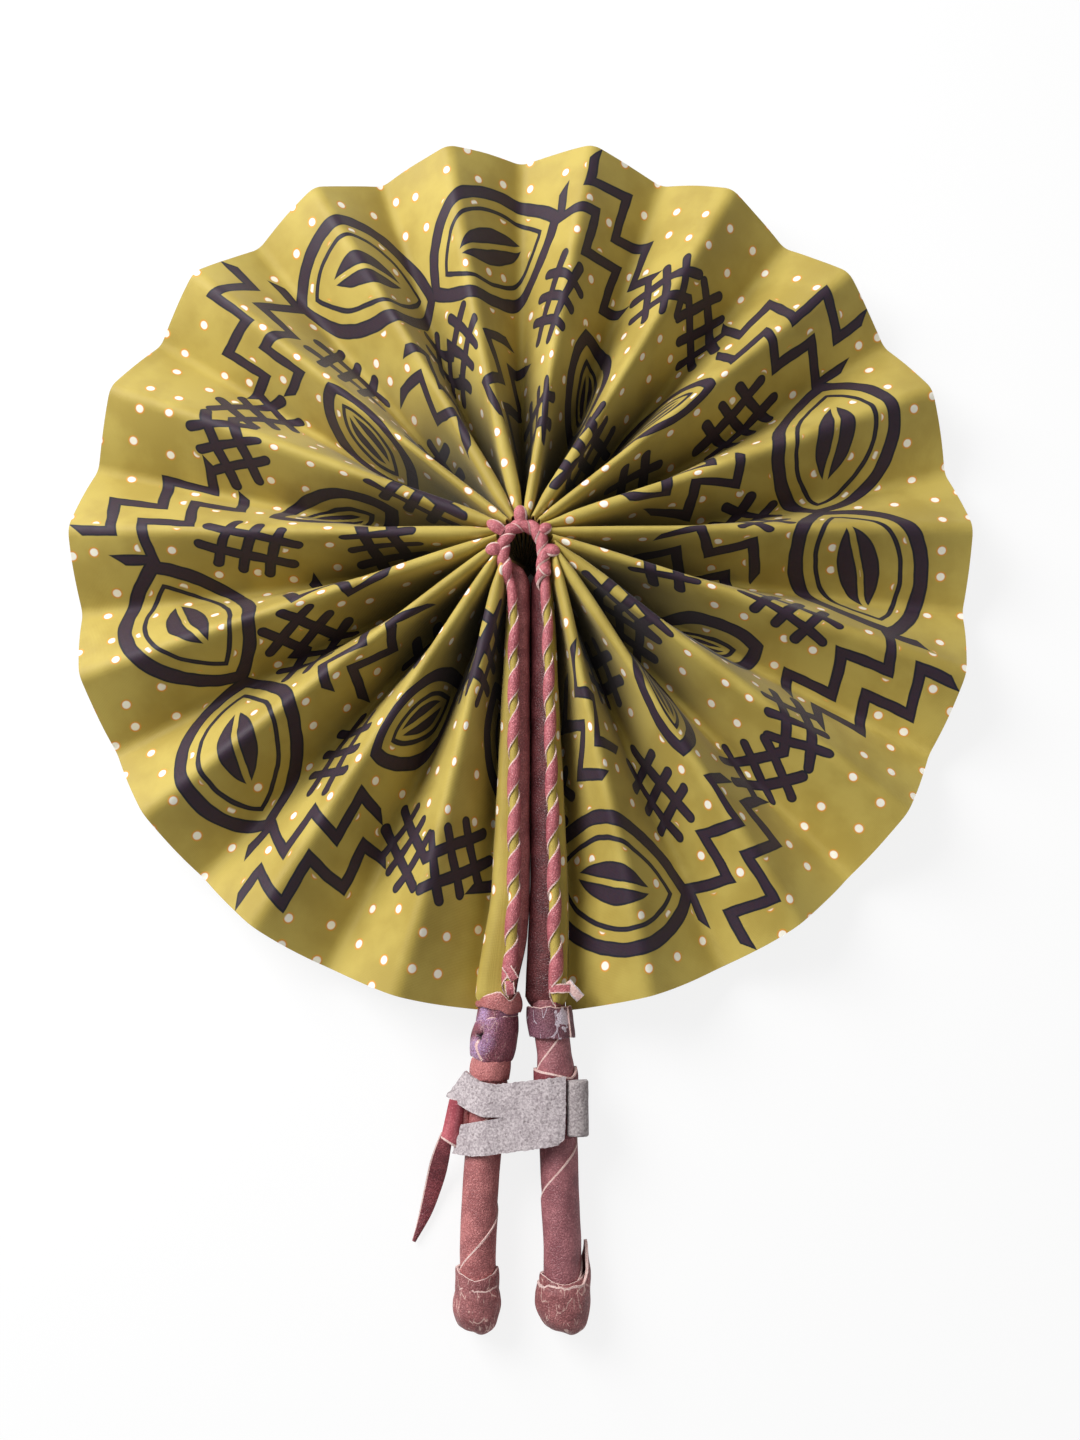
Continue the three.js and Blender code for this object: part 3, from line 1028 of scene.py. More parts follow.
@dataclass(frozen=True)
class LeatherFinish:
    """Grained leather with darker creases and pale scuffs where it is worn, and painted marks: shade inside
    a pit and a tint that is partly painted sheen.
    """

    name: str
    colour: Rgb
    deep: Rgb
    worn: Rgb = (222, 184, 174)
    # Violet tint, partly painted sheen on the side toward the light.
    tint: Rgb = (126, 96, 142)
    # Painted shade inside a pit.
    pit: Rgb = (34, 20, 26)
    grain: float = 0.8
    wear: float = 0.2
    gloss: float = 0.48
    cracks: float = 0.0
    relief: float = 0.5
    relief_depth: float = 0.22
    cloud_scale: float = 210.0
    cloud_span: Span = (0.32, 0.68)
    tint_share: float = 0.85
    crease: Ramp = (0.12, 0.0, 0.0, 0.55)
    speck_scale: float = 2100.0
    speck_dark: Ramp = (0.48, 0.34, 0.0, 0.75)
    speck_light: Ramp = (0.53, 0.68, 0.0, 0.5)
    lighter: int = 30
    fibre_stretch: Point = (1.0, 0.35, 1.0)
    fibre_scale: float = 620.0
    fibre_hold: float = 0.86
    fibre_wear: float = 0.25
    fibre_mark: float = -0.3
    fibre_span: Span = (-0.02, 0.05)
    split_stretch: Point = (1.0, 0.3, 1.0)
    split_scale: float = 420.0
    split_span: Span = (0.04, 0.012)
    patch_scale: float = 330.0
    patch_span: Span = (0.5, 0.58)
    fade: float = 0.85
    pore_span: Span = (0.0, 0.2)
    pore_depth: float = 0.9
    swell_scale: float = 480.0
    shine_span: Span = (0.3, 0.7)
    shine_less: float = 0.08
    shine_more: float = 0.1

    def grained(self, w: Wires, here: Socket, cloud: Socket, pores: Socket, tint: Socket) -> Socket:
        """Colours the face of the leather, with its creases and specks.

        Args:
            w: tree of the leather.
            here: place on the piece.
            cloud: slow change over the leather.
            pores: distance from the creases of its grain.
            tint: how much of the other colour shows, partly the leather's own tint and partly painted sheen
                on the side toward the light.

        Returns:
            The colour.
        """
        deep = linear(self.deep)
        light = linear(tuple(min(CHANNEL_TOP, value + self.lighter) for value in self.colour))
        base = w.blend(w.step(cloud, *self.cloud_span), deep, linear(self.colour))
        tinted = w.blend(w.math("MULTIPLY", tint, self.tint_share), base, linear(self.tint))
        creased = w.blend(w.step(pores, *self.crease), tinted, deep)
        speck = w.noise(here, self.speck_scale, detail=2.0)
        dimpled = w.blend(w.step(speck, *self.speck_dark), creased, deep)
        return w.blend(w.step(speck, *self.speck_light), dimpled, light)

    def paled(self, w: Wires, here: Socket, scuff: Socket) -> Socket:
        """Finds where the face is rubbed or split.

        Args:
            w: tree of the leather.
            here: place on the piece.
            scuff: how scuffed it is.

        Returns:
            How much of the pale fibres shows.
        """
        fibres = w.noise(w.stretched(here, self.fibre_stretch), self.fibre_scale, detail=5.0)
        held = self.fibre_hold - self.fibre_wear * self.wear
        threshold = w.math("MULTIPLY_ADD", scuff, self.fibre_mark, held)
        scuffed = w.step(w.math("SUBTRACT", fibres, threshold), *self.fibre_span)
        splits = w.cells(w.stretched(here, self.split_stretch), self.split_scale)
        patch = w.step(w.noise(here, self.patch_scale, detail=2.0), *self.patch_span)
        torn = w.math("MULTIPLY", w.step(splits, *self.split_span), patch)
        return w.math("MAXIMUM", scuffed, w.math("MULTIPLY", torn, self.cracks))

    def material(self) -> bpy.types.Material:
        """Makes the leather on Object coordinates and the piece's own marks.

        Returns:
            The material.
        """
        w = Wires(self.name)
        here = w.spot()
        # Marks: scuffs, the painted shade inside a pit, and the tint, partly painted sheen.
        scuff, pit, tint = w.wear()
        cloud = w.noise(here, self.cloud_scale, detail=4.0)
        pores = w.cells(here, PER_METRE / self.grain)
        face = self.grained(w, here, cloud, pores, tint)
        pale = w.math("MULTIPLY", self.paled(w, here, scuff), self.fade)
        faded = w.blend(pale, face, linear(self.worn))
        swell = w.noise(here, self.swell_scale)
        height = w.math("MULTIPLY_ADD", w.step(pores, *self.pore_span), self.pore_depth, swell)
        w.bump(height, self.relief, self.relief_depth)
        shine = w.step(cloud, *self.shine_span, self.gloss - self.shine_less, self.gloss + self.shine_more)
        # Paints the shade inside a pit.
        colour = w.blend(pit, faded, linear(self.pit))
        return w.surface(Base_Color=colour, Roughness=shine, Specular_IOR_Level=0.42)


@dataclass(frozen=True)
class FibreFinish:
    """Bare fibres: the napped face of suede, or the cut edge of leather."""

    name: str
    colour: Rgb
    deep: Rgb
    hole: Rgb = (104, 92, 92)
    nap: float = 0.5
    pits: float = 0.4
    pit_span: Span = (0.44, 0.34)
    fluff_scale: float = 1300.0
    fluff_share: float = 0.9
    cloud_scale: float = 230.0
    cloud_share: float = 0.25
    tone_span: Span = (0.42, 0.74)
    hole_scale: float = 900.0
    relief: float = 0.6
    relief_depth: float = 0.3

    def material(self) -> bpy.types.Material:
        """Makes the fibres on Object coordinates.

        Returns:
            The material.
        """
        w = Wires(self.name)
        here = w.spot()
        fluff = w.noise(here, self.fluff_scale / self.nap, detail=5.0)
        cloud = w.noise(here, self.cloud_scale)
        soft = w.math("MULTIPLY", fluff, self.fluff_share)
        mixed = w.math("MULTIPLY_ADD", cloud, self.cloud_share, soft)
        base = w.blend(w.step(mixed, *self.tone_span), linear(self.deep), linear(self.colour))
        holes = w.noise(here, self.hole_scale / self.nap, detail=4.0)
        colour = w.blend(w.step(holes, *self.pit_span, 0.0, self.pits), base, linear(self.hole))
        w.bump(w.math("ADD", fluff, holes), self.relief, self.relief_depth)
        return w.surface(
            Base_Color=colour, Roughness=0.95, Specular_IOR_Level=0.15, Sheen_Weight=0.2,
            Sheen_Roughness=0.6,
        )


@dataclass(frozen=True)
class WoodFinish:
    """Plain dowel inside the covers."""

    colour: Rgb = (178, 138, 90)
    deep: Rgb = (140, 100, 60)
    stretch: Point = (1.0, 0.06, 1.0)
    scale: float = 700.0
    tone_span: Span = (0.35, 0.65)
    shine: Ramp = (0.3, 0.7, 0.5, 0.7)
    relief: float = 0.2
    relief_depth: float = 0.2

    def material(self) -> bpy.types.Material:
        """Makes wood with its grain along the stick.

        Returns:
            The material.
        """
        w = Wires("stick_wood")
        grain = w.noise(w.stretched(w.spot(), self.stretch), self.scale, detail=5.0)
        colour = w.blend(w.step(grain, *self.tone_span), linear(self.deep), linear(self.colour))
        w.bump(grain, self.relief, self.relief_depth)
        return w.surface(Base_Color=colour, Roughness=w.step(grain, *self.shine))


class Finishes:
    """Every material of the fan, made once."""

    def __init__(self) -> None:
        """Makes the materials."""
        self.cloth = ClothFinish().material()
        self.red = LeatherFinish("red_leather", (190, 118, 116), (148, 84, 85)).material()
        self.brown = LeatherFinish("brown_leather", (169, 107, 112), (132, 78, 84)).material()
        # The right guard's leather: a darker copy of the red leather, painted shade for its side that lies
        # in shadow.
        self.inner = LeatherFinish("inner_leather", (108, 50, 52), (78, 34, 38), wear=0.1).material()
        self.salmon = LeatherFinish("salmon_leather", (192, 118, 115), (160, 92, 92), wear=0.1).material()
        # Its lilac tint shows mostly as painted sheen on the collars' side toward the light.
        self.purple = LeatherFinish(
            "purple_leather", (140, 78, 88), (104, 52, 64), tint=(178, 146, 190), gloss=0.36, cracks=0.4
        ).material()
        self.band = LeatherFinish(
            "worn_leather", (130, 82, 92), (98, 58, 68), worn=(214, 200, 212), wear=0.4, cracks=0.8
        ).material()
        self.cap = LeatherFinish(
            "cap_leather", (168, 104, 104), (124, 70, 72), wear=0.75, cracks=0.9
        ).material()
        self.lace = LeatherFinish(
            "lace_leather", (198, 114, 120), (162, 84, 92), wear=0.1, gloss=0.42
        ).material()
        self.deep = LeatherFinish("dark_leather", (136, 64, 70), (100, 42, 50), wear=0.05).material()
        self.gloss = LeatherFinish(
            "rolled_leather", (186, 96, 104), (152, 70, 80), wear=0.05, gloss=0.24, relief=0.08
        ).material()
        self.suede = FibreFinish("suede", (208, 197, 199), (164, 152, 156), nap=0.75, pits=0.5).material()
        # Darker copy of the suede for the strap's roll, painted shade.
        self.suede_back = FibreFinish("suede_back", (182, 172, 172), (138, 128, 130), nap=0.75).material()
        self.cut = FibreFinish("cut_edge", (230, 204, 198), (210, 168, 162), pits=0.1).material()
        self.wood = WoodFinish().material()


@dataclass
class Leaf:
    """The round of printed cloth, one piece for each of its pleats."""

    plan: FanPlan
    finishes: Finishes
    columns: int = 56
    rows: int = 64
    crowding: float = 0.6
    fold_round: float = 2.6
    fold_round_most: float = 0.44
    gather: float = 8.1
    gather_share: float = 0.14
    plump_end: float = 0.86
    plump_power: int = 3
    plump_span: Span = (18.0, 92.0)
    roll_half: float = 1.65
    roll_half_most: float = 0.7
    roll_least: float = 0.78
    roll_vary: float = 0.35
    roll_fall: float = 2.0
    roll_cloth: float = 0.12
    roll_power: float = 1.5
    roll_span: Span = (24.0, 70.0)
    thickness: float = 0.45
    sway: float = 1.5
    sway_middle: float = 0.8
    sway_rim: float = 0.4
    drop: float = 1.4
    drop_power: float = 0.7
    rim_waver: Waver = Waver(0.5, 0.9, 4.0)
    ripple: Waver = Waver(0.5, 1.2, 0.04, 3.0)
    ripple_span: Span = (0.2, 0.8)
    ripple_ease: float = 0.6
    lean_folds: float = 9.0
    eye_shift: float = 0.8
    eye_shift_span: Span = (15.0, 70.0)
    guard_tuck: float = 1.2
    lowest: float = 0.3
    highest: float = 25.9
    # Painted shade deep in the folds: radii from the eye over which it fades, and the share of a panel from
    # its ridge over which it grows.
    hollow_span: Span = (76.0, 20.0)
    hollow_side: Span = (0.1, 0.5)
    closing_first: Span = (2.8, -0.6)
    closing_last: Span = (3.9, 5.0)
    keep: float = 0.045
    seed: int = 11

    def __post_init__(self) -> None:
        """Draws each fold's own small wander."""
        chance = random.Random(self.seed)
        count = self.plan.panels + 1
        self.sways = [chance.uniform(-1.0, 1.0) for _ in range(count)]
        self.drops = [chance.uniform(0.0, 1.0) for _ in range(count)]
        self.sways[0] = 0.0
        self.sways[-1] = 0.0

    def profile(self, ridge: int, away: float, radius: float) -> Span:
        """Section across a panel.

        Near the eye each ridge is a narrow roll with steep sides; toward the rim the panels
        are flat with rounded folds.

        Args:
            ridge: the fold that is its ridge.
            away: share of the panel's cloth between the point and its ridge.
            radius: distance from the eye.

        Returns:
            The share of the way across to the valley, and the height from 1 on the ridge to -1.
        """
        chord = self.plan.chord(radius)
        turn = min(self.fold_round_most, self.fold_round / chord)
        if away < turn:
            height = 1.0 - turn - away ** 2 / turn
        elif away > 1.0 - turn:
            height = -(1.0 - turn - (1.0 - away) ** 2 / turn)
        else:
            height = 1.0 - 2.0 * away
        flat = height / (1.0 - turn)
        plump = 1.0 - 2.0 * min(1.0, away / self.plump_end) ** self.plump_power
        height = flat + (plump - flat) * (1.0 - smooth(*self.plump_span, radius))
        width = self.roll_half * (self.roll_least + self.roll_vary * self.drops[ridge])
        half = min(self.roll_half_most, width / chord)
        fall = 2.0 * self.roll_fall / self.plan.rise(radius)
        if away < self.roll_cloth:
            bend = QUARTER * away / self.roll_cloth
            aside = half * math.sin(bend)
            drop = fall * (1.0 - math.cos(bend))
        else:
            down = (away - self.roll_cloth) / (1.0 - self.roll_cloth)
            aside = half + (1.0 - half) * down ** self.roll_power
            drop = fall + (2.0 - fall) * down
        rolled = 1.0 - smooth(*self.roll_span, radius)
        return away + (aside - away) * rolled, height + (1.0 - drop - height) * rolled

    def point(self, fold: float, share: float) -> Vector:
        """Place of a point of the leaf.

        Args:
            fold: folds from the left guard.
            share: 0 at the eye and 1 at the rim.

        Returns:
            The point, in metres.
        """
        plan = self.plan
        low = min(int(fold), plan.panels - 1)
        part = fold - low
        reach = plan.leaf_radius + self.rim_waver.line(fold) - plan.eye_radius
        radius = plan.eye_radius + share * reach
        arc = math.sin(math.pi * share)
        sway = self.sways[low] * (1.0 - part) + self.sways[low + 1] * part
        side = sway * self.sway * (arc * self.sway_middle + self.sway_rim * share)
        odd = low % 2
        aside, height = self.profile(low + 1 - odd, part if odd else 1.0 - part, radius)
        angle = plan.fold_angle(low + (aside if odd else 1.0 - aside), radius)
        drawn = radius - self.gather * (0.5 - 0.5 * height) * (1.0 - smooth(0.0, self.gather_share, share))
        x = drawn * math.cos(angle) - side * math.sin(angle)
        y = drawn * math.sin(angle) + side * math.cos(angle)
        near = max(0.0, 1.0 - min(fold, plan.panels - fold) / self.lean_folds)
        shift = self.eye_shift * (1.0 - smooth(*self.eye_shift_span, radius))
        x += near * plan.lean(max(0.0, -y)) + (1.0 - near) * shift
        x += self.guard_tuck * (max(0.0, 1.0 - fold) - max(0.0, fold - plan.panels + 1.0))
        drop = self.drops[low + 1 - odd] if height > 0 else -self.drops[low + odd]
        bend = -self.drop * drop * abs(height) * arc ** self.drop_power
        ripple = self.ripple.at(fold, radius) * smooth(*self.ripple_span, share)
        uneven = bend + ripple * (1.0 - self.ripple_ease * abs(height))
        z = plan.mid + 0.5 * plan.rise(radius) * height + uneven
        return plan.place(x, y, min(self.highest, max(self.lowest, z)))

    def pleat(self, number: int) -> None:
        """Builds one pleat.

        Args:
            number: pleat, from 1 at the left guard.
        """
        plan = self.plan
        first = 2 * (number - 1)

        def fold_at(u: float) -> float:
            """Fold across the sheet, closer together near the creases."""
            both = 2.0 * u
            panel = min(1, int(both))
            a = both - panel
            return first + panel + a - self.crowding * math.sin(TAU * a) / TAU

        def strip(u: float, v: float) -> Span:
            """Place on the flat cloth."""
            return fold_at(u) * plan.panel * MM, plan.radius(v) * MM

        def hollow(u: float, v: float) -> Point:
            """Painted shade: how deep in the gathered folds a point lies, more near the eye and away from
            the ridge.
            """
            away = abs(fold_at(u) - first - 1.0)
            return smooth(*self.hollow_span, plan.radius(v)) * smooth(*self.hollow_side, away), 0.0, 0.0

        bench = Bench(f"pleat_cloth_{number:02d}").grid(self.columns, self.rows)
        # The marks paint shade deep in the folds.
        bench.shape(lambda u, v: self.point(fold_at(u), v), strip).marks(hollow)
        bench.dress(self.finishes.cloth).wall(self.thickness)
        piece = bench.seat(f"pleat_{number:02d}", "printed_cloth", f"leaf_pleat_{number:02d}")
        anchor, axis = self.closing_plane(number)
        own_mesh(piece)
        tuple(axis)
        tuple(anchor)

    def closing_plane(self, number: int) -> tuple[tuple[float, ...], Point]:
        """Plane that a pleat gathers to as the fan closes, on its ridge and clear of the guards.

        Args:
            number: pleat, from 1 at the left guard.

        Returns:
            A point of the plane and its normal.
        """
        plan = self.plan
        ends = []
        share = (number - 1) / (plan.pleats - 1)
        radii = (plan.eye_radius, plan.leaf_radius)
        for radius, low, high in zip(radii, self.closing_first, self.closing_last):
            aside = low + (high - low) * share
            angle = plan.fold_angle(2 * number - 1, radius)
            x = radius * math.cos(angle) - aside * math.sin(angle)
            y = radius * math.sin(angle) + aside * math.cos(angle)
            ends.append(plan.place(x, y, plan.mid))
        along = (ends[1] - ends[0]).normalized()
        return tuple(ends[0]), (-along.y, along.x, 0.0)

    def build(self) -> None:
        """Builds every pleat."""
        for number in range(1, self.plan.pleats + 1):
            self.pleat(number)


@dataclass(frozen=True)
class Scrap:
    """A loose end of lace above a collar.

    Its middle is a place in x, below the eye and above the table, its size is a length and a
    width, and its turn is from the x direction in degrees.
    """

    name: str
    middle: Point
    size: Span
    turn: float
    pale: bool = False


@dataclass
class Guard:
    """One covered guard with its piping, its lacing and the loose ends of it."""

    plan: FanPlan
    finishes: Finishes
    side: Side
    leather: bpy.types.Material
    piping_top: float
    piping_end: float
    inset: float
    flare: float
    slope: float
    scraps: tuple[Scrap, ...]
    core_radius: float = 2.2
    core_steps: int = 48
    core_below: float = 1.5
    core_short: float = 4.0
    squareness: float = 3.4
    cover_tops: Span = (8.0, 2.4)
    cover_past: float = 3.0
    inner_gap: float = 0.08
    inset_span: Span = (112.0, 131.0)
    flare_span: Span = (100.0, 126.0)
    top_draw: float = 0.2
    top_span: Span = (0.0, 2.0)
    end_draw: float = 0.4
    end_span: Span = (-0.6, 3.4)
    crease: Waver = Waver(0.4, 2.4, 0.035)
    crease_span: Span = (88.0, 118.0)
    dent: Waver = Waver(0.16, 1.6, 0.12, 4.0)
    plain_cloth: float = 200.0
    cover_cloth: Span = (-0.036, -0.0045)
    piping_cloth: Span = (0.012, -0.05)
    piping_slim: float = 0.9
    piping_growth: float = 0.005
    piping_tip: float = 0.02
    lace_turns: int = 9
    lace_width: float = 8.3
    lace_columns: int = 14
    lace_rows: int = 26
    lace_past: float = 1.4
    lace_vary: Waver = Waver(0.2, 0.9, 7.0)
    lace_wander: Waver = Waver(1.3, 0.8, 2.0)
    lace_gap: float = 0.22
    lace_crown: float = 0.3
    lace_hem: float = 0.43
    scrap_vary: Waver = Waver(0.12, 4.0, 1.0)
    scrap_curl: float = 0.55
    scrap_lift: Waver = Waver(0.2, 3.0, 3.0)
    scrap_hem: float = 0.42
    scrap_keep: float = 0.3
    tuck: float = 8.6

    def piping_radius(self, s: float) -> float:
        """Radius of the piping, thicker toward the handle."""
        return self.piping_slim + self.piping_growth * s

    def core(self) -> None:
        """Makes the wooden stick inside the cover and the handle."""
        plan = self.plan
        top = plan.guard_top + self.core_below
        length = plan.butt - self.core_short - top
        path = []
        for step in range(self.core_steps + 1):
            s = top + length * step / self.core_steps
            path.append(plan.place(plan.handle_x(self.side, s), -s, plan.axis_z(s)))
        bench = Bench(f"{self.side.word}_core").rod(path, self.core_radius).dress(self.finishes.wood)
        bench.seat(self.side.body, "stick_wood", f"{self.side.word}_stick")

    def cover_point(self, u: float, v: float) -> Vector:
        """Rounded box of the cover, drawn in at its ends.

        Args:
            u: share of the way round it.
            v: share of the way down it.

        Returns:
            The point, in metres.
        """
        plan = self.plan
        side = self.side.value
        end = plan.guard_end + self.cover_past
        phi = TAU * u
        cos = math.cos(phi)
        sin = math.sin(phi)
        inner, outer = self.cover_tops
        top = inner + (outer - inner) * (0.5 + 0.5 * side * cos)
        s = top + v * (end - top)
        power = 2.0 / self.squareness
        px = math.copysign(abs(cos) ** power, cos) * plan.half_width(s)
        pz = math.copysign(abs(sin) ** power, sin) * plan.half_depth(s)
        if px * side < 0:
            inward = plan.axis_x(s) - self.inner_gap - self.inset * smooth(*self.inset_span, s)
            px *= inward / plan.half_width(s)
            pz *= 1.0 - self.slope * abs(px) / plan.axis_x(s)
        else:
            px *= 1.0 + self.flare * smooth(*self.flare_span, s)
        ends = 1.0 - self.top_draw + self.top_draw * smooth(*self.top_span, s - top)
        ends *= 1.0 - self.end_draw + self.end_draw * smooth(*self.end_span, end - s)
        crease = self.crease.at(phi, s, side) * smooth(*self.crease_span, s) + self.dent.at(phi, s, side)
        x = side * plan.axis_x(s) + plan.lean(s) + (px + crease * cos) * ends
        return plan.place(x, -s, plan.axis_z(s) + (pz + crease * sin) * ends)

    def cover(self) -> None:
        """Makes the cover, leather on its inner part and printed cloth on its outer part."""
        plan = self.plan
        length = plan.guard_end + self.cover_past - plan.guard_top

        def strip(u: float, v: float) -> Span:
            """Place on a plain part of the cloth, which has only dots."""
            scale, start = self.cover_cloth
            return scale * u + start, (self.plain_cloth + plan.guard_top + v * length) * MM

        def finish(middle: Vector) -> int:
            """Cloth outside of the piping."""
            s = plan.eye_y - middle.y / MM
            outward = self.side.value * (middle.x / MM - plan.piping(self.side, s)[0])
            return 1 if outward > 0.0 else 0

        bench = Bench(f"{self.side.word}_cover").grid(columns=52, rows=72)
        bench.shape(self.cover_point, strip).weld(close=True)
        bench.dress(self.leather, self.finishes.cloth).paint(finish)
        bench.seat(self.side.body, "red_leather", f"{self.side.word}_guard_cover")

    def piping(self) -> None:
        """Makes the cloth-covered cord along the front edge."""
        plan = self.plan
        length = self.piping_end - self.piping_top

        def rule(u: float, v: float) -> Vector:
            """Round cord with drawn-in ends."""
            s = self.piping_top + v * length
            x, z = plan.piping(self.side, s)
            full = smooth(0.0, self.piping_tip, v) * smooth(0.0, self.piping_tip, 1.0 - v)
            radius = self.piping_radius(s) * (0.5 + 0.5 * full)
            return plan.place(x + radius * math.cos(TAU * u), -s, z + radius * math.sin(TAU * u))

        def strip(u: float, v: float) -> Span:
            """Place on a bare strip of the cloth."""
            scale, start = self.piping_cloth
            return scale * u + start, (self.plain_cloth + self.piping_top + v * length) * MM

        bench = Bench(f"{self.side.word}_cord").grid(columns=16, rows=90).shape(rule, strip).weld(close=True)
        bench.dress(self.finishes.cloth)
        bench.seat(self.side.body, "printed_cloth", f"{self.side.word}_piping")

    def lacing(self) -> None:
        """Winds flat lace round the piping."""
        plan = self.plan
        start = self.piping_top + self.lace_width * 0.5
        run = self.piping_end + self.lace_past - self.lace_width * 0.5 - start

        def rule(u: float, v: float) -> Vector:
            """Ribbon on a helix, a little uneven from turn to turn."""
            turns = v * self.lace_turns
            wide = self.lace_width * (1.0 + self.lace_vary.line(turns, self.side.value))
            s = start + run * v + (u - 0.5) * wide + self.lace_wander.line(turns, self.side.value)
            phi = TAU * turns - QUARTER
            x, z = plan.piping(self.side, s)
            radius = self.piping_radius(s) + self.lace_gap + self.lace_crown * crown(u)
            return plan.place(x + radius * math.cos(phi), -s, z + radius * math.sin(phi))

        bench = Bench(f"{self.side.word}_lace").grid(self.lace_columns, self.lace_turns * self.lace_rows)
        bench.shape(rule).dress(self.finishes.lace, self.finishes.cut)
        bench.hem(lambda u, v: abs(u - 0.5) > self.lace_hem).wall(thickness=0.4, rim=1)
        bench.seat(self.side.body, "lace", f"{self.side.word}_edge_lacing")

    def loose_end(self, scrap: Scrap) -> None:
        """Lays a loose end on the guard's front.

        Args:
            scrap: its name, place and size.
        """
        made = self.finishes
        cos = math.cos(math.radians(scrap.turn))
        sin = math.sin(math.radians(scrap.turn))
        middle, below, height = scrap.middle
        length, width = scrap.size

        def rule(u: float, v: float) -> Vector:
            """Short strip, curled up in its middle."""
            along = (u - 0.5) * length
            across = (v - 0.5) * width * (1.0 + self.scrap_vary.line(u))
            lift = self.scrap_curl * math.sin(math.pi * u) + self.scrap_lift.at(u, v)
            x = middle + along * cos - across * sin
            return self.plan.place(x, -below + along * sin + across * cos, height + lift)

        bench = Bench(scrap.name).grid(columns=14, rows=8).shape(rule)
        bench.dress(*((made.cut, made.suede) if scrap.pale else (made.lace, made.cut)))
        bench.hem(lambda u, v: abs(v - 0.5) > self.scrap_hem).wall(thickness=0.5, rim=1)
        piece = bench.seat(self.side.body, "lace")
        if self.side is Side.RIGHT:
            anchor = tuple(self.plan.place(self.tuck, -below, height))
            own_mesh(piece)

    def build(self) -> None:
        """Builds the guard."""
        self.core()
        self.cover()
        self.piping()
        self.lacing()
        for scrap in self.scraps:
            self.loose_end(scrap)


@dataclass(frozen=True)
class LaceLoop:
    """A flat loop of lace at the eye.

    It belongs to a numbered turn and points in a direction in degrees. Its root's distance from
    the middle, its length and half of its width follow.
    """

    number: int
    direction: float
    start: float
    long: float
    wide: float


